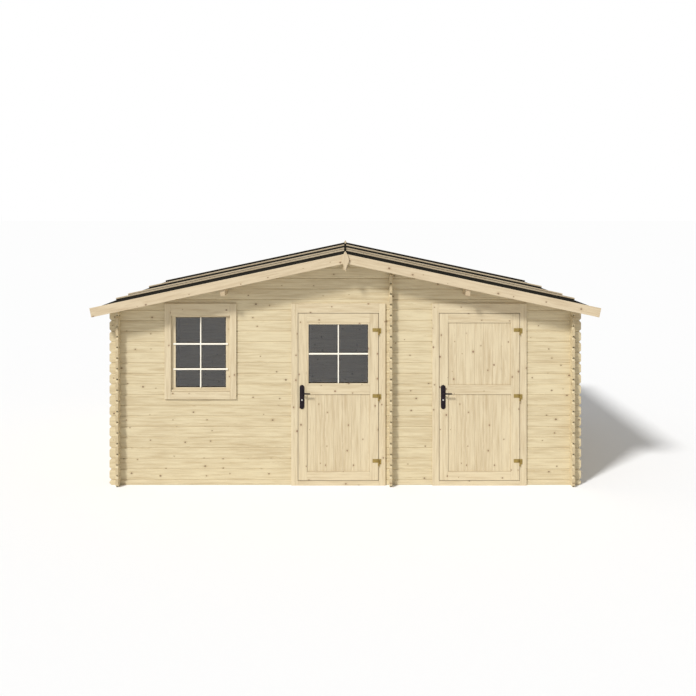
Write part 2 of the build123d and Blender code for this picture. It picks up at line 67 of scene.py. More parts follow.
lamp_elevation = math.radians(41)
lamp_from_left = math.radians(39)
lamp_data = bpy.data.lights.new("studio_lamp", "SUN")
lamp_data.energy = 3.05
lamp_data.angle = math.radians(9)
lamp_way = Vector((
    -math.cos(lamp_elevation) * math.sin(lamp_from_left),
    -math.cos(lamp_elevation) * math.cos(lamp_from_left),
    math.sin(lamp_elevation),
))
placed("studio_lamp", lamp_data).rotation_euler = lamp_way.to_track_quat("Z", "Y").to_euler()


def set_sockets(tree, sockets, values):
    """Set sockets, given by name or number, or link them where the value is a socket."""
    for key, value in values.items():
        if isinstance(value, bpy.types.NodeSocket):
            tree.links.new(value, sockets[key])
        else:
            sockets[key].default_value = value


def add_node(tree, kind, values=None, **settings):
    """Add a node, with its properties set and its sockets set or linked."""
    made = tree.nodes.new(kind)
    for name, value in settings.items():
        setattr(made, name, value)
    set_sockets(tree, made.inputs, values or {})
    return made


def sum_of(tree, operation, *values):
    """The result of one step of arithmetic on numbers or sockets."""
    return add_node(tree, "ShaderNodeMath", dict(enumerate(values)), operation=operation).outputs[0]


def mapped(tree, value, to_min, to_max, from_min=0.0, from_max=1.0, smooth=False):
    """A value taken from one range to another and kept inside it."""
    values = {"Value": value, "From Min": from_min, "From Max": from_max, "To Min": to_min, "To Max": to_max}
    kind = "SMOOTHSTEP" if smooth else "LINEAR"
    return add_node(tree, "ShaderNodeMapRange", values, interpolation_type=kind).outputs["Result"]


def new_material(name):
    """A material, its tree, and the sockets of its surface."""
    material = bpy.data.materials.new(name)
    material.use_nodes = True
    return material, material.node_tree, material.node_tree.nodes["Principled BSDF"].inputs


sky_light = 0.42
world = bpy.data.worlds.new("studio")
bpy.context.scene.world = world
world.use_nodes = True
sky_tree = world.node_tree
sky_tree.nodes.clear()
ray = add_node(sky_tree, "ShaderNodeLightPath").outputs
seen_straight = sum_of(sky_tree, "MAXIMUM", ray["Is Camera Ray"], ray["Is Glossy Ray"])
seen_white = sum_of(sky_tree, "MAXIMUM", seen_straight, ray["Is Transmission Ray"])
sky_level = mapped(sky_tree, seen_white, sky_light, 1.0)
sky = add_node(sky_tree, "ShaderNodeBackground", {"Color": (1, 1, 1, 1), "Strength": sky_level})
add_node(sky_tree, "ShaderNodeOutputWorld", {"Surface": sky.outputs[0]})

floor_reach = 400
floor_mesh = bpy.data.meshes.new("studio_floor")
floor_corners = [(x * floor_reach, y * floor_reach, 0) for x, y in ((-1, -1), (1, -1), (1, 1), (-1, 1))]
floor_mesh.from_pydata(floor_corners, [], [(0, 1, 2, 3)])
pale_floor, floor_tree, floor_surface = new_material("studio_floor")
floor_plain = {"Base Color": (0.93, 0.93, 0.93, 1), "Roughness": 1.0, "Specular IOR Level": 0.0}
set_sockets(floor_tree, floor_surface, floor_plain)
floor_mesh.materials.append(pale_floor)
placed("studio_floor", floor_mesh)

# Joists and floor
# Planed spruce joists lie on the ground from side to side in each room. Floor boards with tongues
# are nailed across them, and stop short of the door frames.


def new_group(name, kind, inputs, outputs):
    """An empty node group, its inputs given as (name, kind, value) and its outputs as (name, kind)."""
    group = bpy.data.node_groups.new(name, kind)
    for label, socket, *value in inputs:
        made = group.interface.new_socket(label, in_out="INPUT", socket_type=f"NodeSocket{socket}")
        if value:
            made.default_value = value[0]
    for label, socket in outputs:
        group.interface.new_socket(label, in_out="OUTPUT", socket_type=f"NodeSocket{socket}")
    return group, group.nodes.new("NodeGroupInput").outputs, group.nodes.new("NodeGroupOutput").inputs


def vector_sum(tree, operation, *values):
    """The result of one step of arithmetic on vectors. SCALE takes a vector and a number."""
    keys = (0, "Scale") if operation == "SCALE" else range(len(values))
    made = add_node(tree, "ShaderNodeVectorMath", dict(zip(keys, values)), operation=operation)
    return made.outputs["Value" if operation == "LENGTH" else "Vector"]


def mixed(tree, share, low, high):
    """A colour that lies between two others."""
    return add_node(tree, "ShaderNodeMix", {0: share, 6: low, 7: high}, data_type="RGBA").outputs[2]


# Spruce: rings round a pith behind each board, fine fibre, and ringed knots that the grain flows round
spruce, given, gives = new_group(
    "spruce_grain",
    "ShaderNodeTree",
    (
        ("Grain", "Vector", (0, 0, 0)),
        ("Board", "Float", 0.5),
        ("Pale", "Color", (0.8, 0.7, 0.5, 1)),
        ("Dark", "Color", (0.5, 0.35, 0.2, 1)),
        ("Knot", "Color", (0.3, 0.15, 0.07, 1)),
        ("Ring Width", "Float", 0.0035),
        ("Knots", "Float", 0.5),
    ),
    (("Color", "Color"), ("Roughness", "Float"), ("Height", "Float")),
)
board_shift = vector_sum(spruce, "SCALE", (37.1, 17.3, 9.7), given["Board"])
own_place = vector_sum(spruce, "ADD", given["Grain"], board_shift)


def stretched_noise(per_metre, detail):
    """Noise with its own scale along, across and through a board, from -0.5 to 0.5."""
    place = vector_sum(spruce, "MULTIPLY", own_place, per_metre)
    noise = add_node(spruce, "ShaderNodeTexNoise", {"Vector": place, "Scale": 1.0, "Detail": detail})
    return sum_of(spruce, "SUBTRACT", noise.outputs["Fac"], 0.5)


drift = stretched_noise((1.3, 5.0, 5.0), 2.0)
streaks = stretched_noise((3.5, 48.0, 48.0), 3.0)
fibre = stretched_noise((9.0, 420.0, 420.0), 2.0)
knot_cells = (3.4, 10.5, 1.0)
cell_place = vector_sum(spruce, "MULTIPLY", own_place, knot_cells)
cell_values = {"Vector": cell_place, "Scale": 1.0, "Randomness": 0.9}
cells = add_node(spruce, "ShaderNodeTexVoronoi", cell_values, voronoi_dimensions="2D").outputs
knot_centre = vector_sum(spruce, "DIVIDE", cells["Position"], knot_cells)
from_knot = vector_sum(spruce, "SUBTRACT", own_place, knot_centre)
knot_gap = vector_sum(spruce, "LENGTH", vector_sum(spruce, "MULTIPLY", from_knot, (0.8, 1.0, 0.0)))
cell_chance = add_node(spruce, "ShaderNodeSeparateColor", {0: cells["Color"]}).outputs
knot_kept = sum_of(spruce, "LESS_THAN", cell_chance[1], given["Knots"])
knot_reach = mapped(spruce, cell_chance[0], 0.003, 0.010)
knot_size = sum_of(spruce, "MULTIPLY_ADD", knot_reach, knot_kept, 0.00001)
knot_turns = sum_of(spruce, "MULTIPLY_ADD", streaks, 0.5, sum_of(spruce, "DIVIDE", knot_gap, knot_size))
knot_mask = mapped(spruce, knot_turns, 1.0, 0.0, 0.75, 1.1, smooth=True)
knot_rim = mapped(spruce, knot_turns, 1.0, 0.0, 1.0, 3.4, smooth=True)
grain_parts = add_node(spruce, "ShaderNodeSeparateXYZ", {0: given["Grain"]}).outputs
off_pith = sum_of(spruce, "SUBTRACT", given["Board"], 0.5)
across_pith = sum_of(spruce, "MULTIPLY_ADD", off_pith, 0.1, grain_parts[1])
behind_pith = sum_of(spruce, "ADD", grain_parts[2], 0.03)
across_square = sum_of(spruce, "POWER", across_pith, 2.0)
pith_square = sum_of(spruce, "MULTIPLY_ADD", behind_pith, behind_pith, across_square)
drifted_gap = sum_of(spruce, "MULTIPLY_ADD", drift, 0.05, sum_of(spruce, "SQRT", pith_square))
bent_gap = sum_of(spruce, "MULTIPLY_ADD", sum_of(spruce, "MULTIPLY", knot_rim, knot_size), 1.3, drifted_gap)
ring_place = sum_of(spruce, "FRACT", sum_of(spruce, "DIVIDE", bent_gap, given["Ring Width"]))
late_wood = sum_of(spruce, "POWER", ring_place, 2.5)
board_chance = sum_of(spruce, "FRACT", sum_of(spruce, "MULTIPLY", given["Board"], 7.31))
dark_share = 0.04
for source, weight in (
    (late_wood, 0.36), (fibre, 0.6), (drift, 0.6), (streaks, 1.45), (board_chance, 0.16),
    (sum_of(spruce, "MULTIPLY", knot_rim, knot_kept), 0.24),
):
    dark_share = sum_of(spruce, "MULTIPLY_ADD", source, weight, dark_share)
clear_wood = mixed(spruce, dark_share, given["Pale"], given["Dark"])
knot_rings = sum_of(spruce, "FRACT", sum_of(spruce, "MULTIPLY", knot_turns, 4.5))
knot_fade = sum_of(spruce, "MULTIPLY_ADD", knot_turns, -0.8, 1.75)
knot_level = sum_of(spruce, "MULTIPLY_ADD", knot_rings, -0.35, knot_fade)
knot_tone = vector_sum(spruce, "SCALE", given["Knot"], knot_level)
raised = sum_of(spruce, "MULTIPLY_ADD", late_wood, 0.5, fibre)
set_sockets(spruce, gives, {
    "Color": mixed(spruce, sum_of(spruce, "MULTIPLY", knot_mask, 0.9), clear_wood, knot_tone),
    "Roughness": mapped(spruce, dark_share, 0.72, 0.5),
    "Height": sum_of(spruce, "MULTIPLY_ADD", knot_mask, 0.4, raised),
})

# Arrises: how near a point is to an edge of its own board, and to the board's sawn ends
arris, given, gives = new_group(
    "arris",
    "ShaderNodeTree",
    (("Grain", "Vector", (0, 0, 0)), ("Size", "Vector", (1, 1, 1)), ("Reach", "Float", 0.004)),
    (("Edge", "Float"), ("End", "Float")),
)
to_faces = vector_sum(arris, "SUBTRACT", given["Size"], vector_sum(arris, "ABSOLUTE", given["Grain"]))
to_face = add_node(arris, "ShaderNodeSeparateXYZ", {0: to_faces}).outputs
nearest, furthest, all_three = [
    sum_of(arris, step, sum_of(arris, step, to_face[0], to_face[1]), to_face[2])
    for step in ("MINIMUM", "MAXIMUM", "ADD")
]
to_edge = sum_of(arris, "SUBTRACT", sum_of(arris, "SUBTRACT", all_three, nearest), furthest)
chips = add_node(arris, "ShaderNodeTexNoise", {"Vector": given["Grain"], "Scale": 60.0, "Detail": 3.0})
worn_edge = sum_of(arris, "SUBTRACT", to_edge, 0.003)
chipped = sum_of(arris, "MULTIPLY_ADD", chips.outputs["Fac"], 0.006, worn_edge)
set_sockets(arris, gives, {
    "Edge": mapped(arris, chipped, 1.0, 0.0, 0.0, given["Reach"], smooth=True),
    "End": mapped(arris, to_face[0], 1.0, 0.0, 0.0, 0.003),
})


def timber(name, slot, pale, dark, knot, knots, edge, edge_share=0.35, ring_width=0.0035):
    """A planed timber that follows each board's grain, with a tone of its own at arrises and ends."""
    material, tree, surface = new_material(name)
    grain, size, board = [
        add_node(tree, "ShaderNodeAttribute", attribute_name=label).outputs[kind]
        for label, kind in (("grain", "Vector"), ("size", "Vector"), ("board", "Fac"))
    ]
    values = {"Grain": grain, "Board": board, "Ring Width": ring_width, "Knots": knots}
    values |= {"Pale": (*pale, 1), "Dark": (*dark, 1), "Knot": (*knot, 1)}
    wood = add_node(tree, "ShaderNodeGroup", values, node_tree=spruce).outputs
    near = add_node(tree, "ShaderNodeGroup", {"Grain": grain, "Size": size}, node_tree=arris).outputs
    edged = mixed(tree, sum_of(tree, "MULTIPLY", near["Edge"], edge_share), wood["Color"], (*edge, 1))
    ended = mixed(tree, sum_of(tree, "MULTIPLY", near["End"], 0.45), edged, (*dark, 1))
    bump = add_node(tree, "ShaderNodeBump", {"Height": wood["Height"], "Strength": 0.6, "Distance": 0.0004})
    looks = {"Base Color": ended, "Roughness": wood["Roughness"], "Normal": bump.outputs["Normal"]}
    set_sockets(tree, surface, looks)
    return material, slot


def closed(shape, rings):
    """Close a row of rings into one shell, with a face at each end."""
    shape.faces.new(rings[0])
    shape.faces.new(rings[-1])
    for ring, following in zip(rings, rings[1:]):
        for number in range(len(ring)):
            shape.faces.new((ring[number - 1], ring[number], following[number], following[number - 1]))


def sawn(outline, low, high, edge):
    """A board cut to an outline, between two heights in its own frame, with its arrises taken off."""
    board = bmesh.new()
    closed(board, [[board.verts.new((u, v, height)) for u, v in outline] for height in (low, high)])
    bmesh.ops.recalc_face_normals(board, faces=board.faces)
    corners = [line for line in board.edges if line.calc_face_angle(0) > 0.5]
    bmesh.ops.bevel(board, geom=corners, offset=edge, segments=2, profile=0.5, affect="EDGES")
    return board


def oblong(u_low, u_high, v_low, v_high):
    """The outline of a board that is cut square."""
    return [(u_low, v_low), (u_high, v_low), (u_high, v_high), (u_low, v_high)]


chance = random.Random(7)


def boards_mesh(boards):
    """One mesh of boards given as (board, place), with the grain, half sizes and number of each."""
    points, faces, grains, sizes, numbers = [], [], [], [], []
    for board, place in boards:
        board.verts.index_update()
        corners = [corner.co for corner in board.verts]
        low = Vector([min(corner[axis] for corner in corners) for axis in range(3)])
        high = Vector([max(corner[axis] for corner in corners) for axis in range(3)])
        first = len(points)
        number = chance.random()
        for corner in corners:
            points.append(place @ corner)
            grains.extend(corner - (low + high) / 2)
            sizes.extend((high - low) / 2)
            numbers.append(number)
        turned = -1 if place.determinant() < 0 else 1
        faces.extend([[first + corner.index for corner in face.verts][::turned] for face in board.faces])
        board.free()
    mesh = bpy.data.meshes.new("boards")
    mesh.from_pydata(points, [], faces)
    mesh.attributes.new("grain", "FLOAT_VECTOR", "POINT").data.foreach_set("vector", grains)
    mesh.attributes.new("size", "FLOAT_VECTOR", "POINT").data.foreach_set("vector", sizes)
    mesh.attributes.new("board", "FLOAT", "POINT").data.foreach_set("value", numbers)
    return mesh


def end_tree(tree, sockets, instances, material):
    """Close a geometry tree: its instances are made real and get their material."""
    real = add_node(tree, "GeometryNodeRealizeInstances", {"Geometry": instances}).outputs["Geometry"]
    finished = add_node(tree, "GeometryNodeSetMaterial", {"Geometry": real, "Material": material})
    tree.links.new(finished.outputs["Geometry"], sockets["Made"])


# A row of like boards side by side, each with a number of its own for its grain
board_row, given, gives = new_group(
    "board_row",
    "GeometryNodeTree",
    (("Board", "Geometry"), ("Count", "Int"), ("Step", "Vector"), ("Seed", "Int"), ("Timber", "Material")),
    (("Made", "Geometry"),),
)
row_line = {"Count": given["Count"], "Offset": given["Step"]}
row_places = add_node(board_row, "GeometryNodeMeshLine", row_line, mode="OFFSET").outputs["Mesh"]
blank_board = add_node(board_row, "GeometryNodeRemoveAttribute", {"Geometry": given["Board"], "Name": "board"})
laid = {"Points": row_places, "Instance": blank_board.outputs["Geometry"]}
row_boards = add_node(board_row, "GeometryNodeInstanceOnPoints", laid).outputs["Instances"]
row_number = add_node(board_row, "FunctionNodeRandomValue", {"Seed": given["Seed"]}, data_type="FLOAT")
number_values = {"Geometry": row_boards, "Name": "board", "Value": row_number.outputs[1]}
numbered = add_node(
    board_row, "GeometryNodeStoreNamedAttribute", number_values, data_type="FLOAT", domain="INSTANCE"
)
end_tree(board_row, gives, numbered.outputs["Geometry"], given["Timber"])


def grown(mesh, tree, **values):
    """The plain mesh that a tree makes from a first mesh, with the tree's inputs given by name."""
    first = placed("first", mesh)
    modifier = first.modifiers.new("tree", "NODES")
    modifier.node_group = tree
    for socket in tree.interface.items_tree:
        if socket.name in values:
            modifier[socket.identifier] = values[socket.name]
    made = bpy.data.meshes.new_from_object(first.evaluated_get(bpy.context.evaluated_depsgraph_get()))
    bpy.data.objects.remove(first)
    return made


def row_of(board, place, count, step, seed, finish):
    """A row of like boards of one finish, from the place of the first one."""
    first = boards_mesh([(board, place)])
    return grown(first, board_row, Count=count, Step=step, Seed=seed, Timber=finish[0])


def dress(name, meshes, finish, body, *nodes):
    """Join meshes into one piece of one finish that rides on a body and stands for CAD nodes."""
    whole = bmesh.new()
    for mesh in meshes:
        whole.from_mesh(mesh)
    joined = bpy.data.meshes.new(name)
    whole.to_mesh(joined)
    whole.free()
    material, slot = finish
    joined.materials.append(material)
    for face in joined.polygons:
        face.material_index = 0
    piece = placed(name, joined)
    if nodes:
        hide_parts(*nodes)
    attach(piece, body)


# Frames for boards: length, width and thickness of the board, in that order
along_x_on_edge = Matrix(((1, 0, 0, 0), (0, 0, 1, 0), (0, 1, 0, 0), (0, 0, 0, 1)))
along_y_on_edge = Matrix(((0, 0, 1, 0), (1, 0, 0, 0), (0, 1, 0, 0), (0, 0, 0, 1)))
along_x_flat = Matrix.Identity(4)
along_y_flat = Matrix(((0, 1, 0, 0), (1, 0, 0, 0), (0, 0, 1, 0), (0, 0, 0, 1)))
upright = Matrix(((0, 1, 0, 0), (0, 0, 1, 0), (1, 0, 0, 0), (0, 0, 0, 1)))

wall_x = 2.4
wall_y = 1.65
partition_x = 0.48
half_wall = 0.014
inner_face = wall_y - half_wall
floor_top = 0.05
floor_under = floor_top - 0.019
floor_arris = 0.0015
floor_board = 0.11
joist_wide = 0.045
joist_count = 8
casing_thick = 0.018
casing_back = inner_face - casing_thick
joist_y = -(casing_back - joist_wide)
doors = {"glazed_door": -0.0735, "solid_door": 1.4205}
frame_half = 0.499

floor_timber = timber(
    "floor_spruce", "floor_timber", (0.60, 0.515, 0.335), (0.37, 0.275, 0.145), (0.17, 0.10, 0.055), 0.5,
    (0.40, 0.30, 0.18),
)
rooms = {
    "floor_left": (-wall_x + half_wall, partition_x - half_wall, "glazed_door"),
    "floor_right": (partition_x + half_wall, wall_x - half_wall, "solid_door"),
}
joist_meshes = []
for room, (room_left, room_right, door) in rooms.items():
    door_left = doors[door] - frame_half
    door_right = doors[door] + frame_half
    floor_meshes = []
    for start, end, front in (
        (room_left, door_left, inner_face),
        (door_left, door_right, casing_back),
        (door_right, room_right, inner_face),
    ):
        count = max(round((end - start) / floor_board), 1)
        wide = (end - start) / count
        board = sawn(oblong(-front, inner_face, start, start + wide), floor_under, floor_top, floor_arris)
        floor_meshes.append(row_of(board, along_y_flat, count, (wide, 0, 0), count, floor_timber))
    dress(f"{room}_boards", floor_meshes, floor_timber, "shed", room)
    joist_face = oblong(room_left, room_right, joist_y - joist_wide / 2, joist_y + joist_wide / 2)
    joist = sawn(joist_face, 0, floor_under, floor_arris)
    joist_step = (0, -2 * joist_y / (joist_count - 1), 0)
    joist_meshes.append(row_of(joist, along_x_flat, joist_count, joist_step, 3, floor_timber))
dress("joists", joist_meshes, floor_timber, "shed", "floor_joists")

# Log walls
# Planed spruce logs, 28 mm thick, lie on each other with a tongue in a deeper groove and a small V at
# every joint. Where walls cross, each is notched to half its height, and the free ends are cut off.
log_tall = 0.1125
log_v = 0.006
log_end_x = 2.5
log_end_y = 1.75
free_x = (-log_end_x, log_end_x)
end_cut = 0.019
end_arris = 0.0015
groove_half = 0.009
groove_deep = 0.015
tongue_half = 0.004
tongue_tall = 0.005
side_rows = 17
front_rows = 16
gable_rows = 6
partition_rows = 21
top_log_spare = 0.003
half_row = log_tall / 2
gable_bottom = half_row + front_rows * log_tall
slope = math.radians(12)
rise = math.tan(slope)
ridge_under = side_rows * log_tall + wall_x * rise
door_opening = 0.454
window_x = -1.534
window_pocket = 0.348
window_rows = 8

log_timber = timber(
    "log_spruce", "timber", (0.645, 0.550, 0.355), (0.40, 0.295, 0.155), (0.16, 0.10, 0.055), 0.5,
    (0.37, 0.275, 0.155),
)


def log(start, end, low, high, crossings, cut_ends):
    """One log with half its height left where other walls cross it, and its free ends cut."""
    middle = (low + high) / 2
    neck = log_tall / 4

    def full(place, cut=0, hollow=groove_deep, raised=tongue_tall):
        """A station where the log has its whole height, or nearly."""
        return (place, low + cut, high - cut, log_v, hollow, raised)

    def free_end(place, inward):
        """The stations of a free end, from its face to the full log."""
        return [
            (place, low + end_cut + end_arris, high - end_cut - end_arris, end_arris, 0, 0),
            full(place + inward * end_arris, end_cut, 0, 0),
            full(place + inward * (end_cut - groove_deep), groove_deep, 0, 0),
            full(place + inward * end_cut, 0, groove_deep, 0),
            full(place + inward * (end_cut + tongue_tall)),
        ]

    stations = free_end(start, 1) if start in cut_ends else [full(start)]
    for place in sorted(crossings):
        for near in (place - half_wall, place + half_wall):
            stations.append((near, middle - neck, middle + neck, end_arris, 0, 0))
        stations.insert(-2, full(place - half_wall))
        stations.append(full(place + half_wall))
    stations.extend(free_end(end, -1)[::-1] if end in cut_ends else [full(end)])
    made = bmesh.new()
    rings = []
    for place, bottom, top, corner, hollow, raised in stations:
        flat = half_wall - corner
        outline = [
            (bottom + corner, -half_wall), (top - corner, -half_wall), (top, -flat),
            (top, -tongue_half), (top + raised, -tongue_half),
            (top + raised, tongue_half), (top, tongue_half),
            (top, flat), (top - corner, half_wall), (bottom + corner, half_wall), (bottom, flat),
            (bottom, groove_half), (bottom + hollow, groove_half), (bottom + hollow, -groove_half),
            (bottom, -groove_half), (bottom, -flat),
        ]
        rings.append([made.verts.new((place, height, depth)) for height, depth in outline])
    closed(made, rings)
    bmesh.ops.remove_doubles(made, verts=made.verts, dist=0.00001)
    bmesh.ops.recalc_face_normals(made, faces=made.faces)
    return made


def log_rows(start, end, bottom, rows, crossings, place, seed, cut_ends=free_x):
    """Like logs laid on each other, from the place of the first one up."""
    first = log(start, end, bottom, bottom + log_tall, crossings, cut_ends)
    return row_of(first, place, rows, (0, 0, log_tall), seed, log_timber)


def footed(start, end, rows, crossings, place, seed):
    """A stretch of wall: the half log at its foot, and the rows that lie on it."""
    foot = log(start, end, 0, half_row, [], free_x)
    whole_rows = log_rows(start, end, half_row, rows, crossings, place, seed)
    return [boards_mesh([(foot, place)]), whole_rows]


def trimmed(mesh, *sides):
    """Cut a mesh to the slopes of the roof on the sides given, and close it again."""
    whole = bmesh.new()
    whole.from_mesh(mesh)
    for side in sides:
        cut = bmesh.ops.bisect_plane(
            whole,
            geom=[*whole.verts, *whole.edges, *whole.faces],
            plane_co=(0, 0, ridge_under),
            plane_no=(side * rise, 0, 1),
            clear_outer=True,
        )
        loops = [item for item in cut["geom_cut"] if isinstance(item, bmesh.types.BMEdge)]
        bmesh.ops.holes_fill(whole, edges=loops, sides=0)
    whole.to_mesh(mesh)
    whole.free()
    return mesh


def stand(wall, meshes):
    """Put up one wall of logs, which stands for its solid."""
    dress(f"{wall}_logs", meshes, log_timber, "shed", wall)


front_place = Matrix.Translation((0, -wall_y, 0)) @ along_x_on_edge
rear_place = Matrix.Translation((0, wall_y, 0)) @ along_x_on_edge
door_edges = [door_x + side * door_opening for door_x in doors.values() for side in (-1, 1)]
window_left = window_x - window_pocket
window_right = window_x + window_pocket
under_window = front_rows - window_rows
above_sill = half_row + under_window * log_tall
left_foot = log(-log_end_x, door_edges[0], 0, half_row, [], free_x)
stand("front_wall_left", [
    boards_mesh([(left_foot, front_place)]),
    log_rows(-log_end_x, door_edges[0], half_row, under_window, [-wall_x], front_place, 11),
    log_rows(-log_end_x, window_left, above_sill, window_rows, [-wall_x], front_place, 12),
    log_rows(window_right, door_edges[0], above_sill, window_rows, [], front_place, 13),
])
stand("front_wall_middle", footed(door_edges[1], door_edges[2], front_rows, [partition_x], front_place, 14))
stand("front_wall_right", footed(door_edges[3], log_end_x, front_rows, [wall_x], front_place, 15))
all_crossings = [-wall_x, partition_x, wall_x]
gable = log_rows(-log_end_x, log_end_x, gable_bottom, gable_rows, all_crossings, front_place, 16)
stand("front_gable", [trimmed(gable, -1, 1)])
rear_foot, rear_logs = footed(-log_end_x, log_end_x, front_rows + gable_rows, all_crossings, rear_place, 17)
stand("rear_wall", [rear_foot, trimmed(rear_logs, -1, 1)])
for wall, place_x, rows, side in (
    ("left_wall", -wall_x, side_rows - 1, -1),
    ("right_wall", wall_x, side_rows - 1, 1),
    ("partition_wall", partition_x, partition_rows, 1),
):
    wall_place = Matrix.Translation((place_x, 0, 0)) @ along_y_on_edge
    ends = (-log_end_y, log_end_y)
    crossings = [-wall_y, wall_y]
    walls = [log_rows(*ends, 0, rows, crossings, wall_place, 18 + side, ends)]
    if wall != "partition_wall":
        top_log = log(*ends, rows * log_tall, side_rows * log_tall + top_log_spare, crossings, ends)
        walls.append(boards_mesh([(top_log, wall_place)]))
    stand(wall, [trimmed(mesh, side) for mesh in walls])

# Roof
# Three spruce purlins carry boards laid down each slope. Battens lie on the boards over the joints of
# the felt, and planed boards close the eaves and the ends.
roof_end = 1.886
eave_x = 2.636
roof_run = eave_x / math.cos(slope)
board_thick = 0.018
board_v = 0.003
felt_top = 0.021
batten_top = 0.046
batten_gap = 0.006
batten_half = 0.021
batten_places = (-0.847, -0.291, 0.824)
fascia_top = 0.039
fascia_wide = 0.097
fascia_thick = 0.018
eave_thick = 0.016 / math.cos(slope)
eave_deep = 0.06
purlin_half = 0.023
purlin_deep = 0.125
purlin_x = 1.27
roof_arris = 0.0015
roof_board_count = 41

roof_timber = timber(
    "roof_spruce", "roof_timber", (0.610, 0.500, 0.335), (0.39, 0.275, 0.152), (0.17, 0.10, 0.055), 0.55,
    (0.625, 0.52, 0.37),
)


def slope_frame(side):
    """The frame of one slope: down the slope, square to the boards, and from front to rear."""
    return Matrix((
        (side * math.cos(slope), side * math.sin(slope), 0, 0),
        (0, 0, 1, 0),
        (-math.sin(slope), math.cos(slope), 0, ridge_under),
        (0, 0, 0, 1),
    ))


def slope_outline(low, high, run=roof_run):
    """A layer between two lifts on one slope, cut plumb at the ridge."""
    return [(-low * rise, low), (run, low), (run, high), (-high * rise, high)]


def lengthwise(boards):
    """A mesh of boards sawn across their length, with the grain turned to run along them."""
    mesh = boards_mesh(boards)
    for label in ("grain", "size"):
        for value in mesh.attributes[label].data:
            first, second, third = value.vector
            value.vector = (third, first, second)
    return mesh


def span(centre, side, inner, outer):
    """The two ends of a length on one side of a place, the lower one first."""
    return sorted((centre + side * inner, centre + side * outer))


purlin_edge = ridge_under - purlin_half * rise
ridge_face = [
    (ridge_under - purlin_deep, -purlin_half), (ridge_under - purlin_deep, purlin_half),
    (purlin_edge, purlin_half), (ridge_under, 0), (purlin_edge, -purlin_half),
]
ridge_purlin = lengthwise([(sawn(ridge_face, -roof_end, roof_end, roof_arris), upright)])
dress("ridge_purlin_timber", [ridge_purlin], roof_timber, "shed", "ridge_purlin")
side_purlins = []
for side in (-1, 1):
    inner = purlin_x - purlin_half
    outer = purlin_x + purlin_half
    foot = ridge_under - purlin_x * rise - purlin_deep
    purlin_face = [
        (foot, side * inner), (foot, side * outer),
        (ridge_under - outer * rise, side * outer), (ridge_under - inner * rise, side * inner),
    ]
    side_purlins.append((sawn(purlin_face, -roof_end, roof_end, roof_arris), upright))
dress("side_purlin_timber", [lengthwise(side_purlins)], roof_timber, "shed", "side_purlins")
for side_name, side in (("left", -1), ("right", 1)):
    place = slope_frame(side)
    wide = 2 * roof_end / roof_board_count
    board = sawn(slope_outline(0, board_thick), -roof_end, -roof_end + wide, board_v)
    boards = row_of(board, place, roof_board_count, (0, wide, 0), 31 + side, roof_timber)
    dress(f"roof_boards_{side_name}_timber", [boards], roof_timber, "shed", f"roof_boards_{side_name}")
    batten_face = oblong(batten_gap, roof_run, felt_top, batten_top)
    battens = [
        (sawn(batten_face, y - batten_half, y + batten_half, roof_arris), place) for y in batten_places
    ]
    dress(f"battens_{side_name}", [boards_mesh(battens)], roof_timber, "shed", f"roof_battens_{side_name}")
    eave_face = oblong(roof_run - eave_thick, roof_run, -eave_deep, 0)
    eave = lengthwise([(sawn(eave_face, -roof_end, roof_end, roof_arris), place)])
    dress(f"eave_board_{side_name}_timber", [eave], roof_timber, "shed", f"eave_board_{side_name}")
    for end_name, end in (("front", -1), ("rear", 1)):
        fascia_face = slope_outline(fascia_top - fascia_wide, fascia_top)
        fascia = sawn(fascia_face, *span(0, end, roof_end, roof_end + fascia_thick), roof_arris)
        fascia_mesh = boards_mesh([(fascia, place)])
        node = f"{end_name}_fascia_{side_name}"
        dress(f"{end_name}_wind_board_{side_name}", [fascia_mesh], roof_timber, "shed", node)

# Roof felt
# Four strips of black mineral felt run from eave to eave over the ridge. They lie a little uneven on
# the boards, and their edges are turned up beside the battens and the wind boards.
felt_rise = 0.0008
felt_gap = 0.001
felt_lap = 0.001
felt_arris = 0.0006
felt_stations = 24
felt_lines = 9
felt_edges = [-roof_end, *batten_places, roof_end]
upturn = 0.0105
upturn_thick = 0.0025
end_upturn_top = fascia_top - 0.0005


def object_noise(tree, scale, detail, roughness=0.5):
    """Noise all over a piece, of one scale each way."""
    place = add_node(tree, "ShaderNodeTexCoord").outputs["Object"]
    values = {"Vector": place, "Scale": scale, "Detail": detail, "Roughness": roughness}
    return add_node(tree, "ShaderNodeTexNoise", values).outputs["Fac"]


felt_material, felt_tree, felt_surface = new_material("roof_felt")
grit = object_noise(felt_tree, 900.0, 2.0)
patches = object_noise(felt_tree, 7.0, 8.0, 0.62)
grit_share = sum_of(felt_tree, "MULTIPLY_ADD", grit, 1.2, -0.65)
felt_share = sum_of(felt_tree, "MULTIPLY_ADD", patches, 0.9, grit_share)
felt_bump = add_node(felt_tree, "ShaderNodeBump", {"Height": grit, "Strength": 0.7, "Distance": 0.0008})
set_sockets(felt_tree, felt_surface, {
    "Base Color": mixed(felt_tree, felt_share, (0.009, 0.008, 0.006, 1), (0.046, 0.042, 0.034, 1)),
    "Normal": felt_bump.outputs["Normal"],
    "Roughness": 0.95,
    "Specular IOR Level": 0.0,
})
felt_black = (felt_material, "felt")

wave_count = 3
wave_pitches = (2, 5)
wave_phases = (0, 6.3)
felt_wave = random.Random(5)
felt_points, felt_faces = [], []


def felt_face(corner, one_step, other_step, turn):
    """One face of the felt, from the number of its first point and two steps between points."""
    across = corner + one_step + other_step
    felt_faces.append([corner, corner + one_step, across, corner + other_step][::turn])


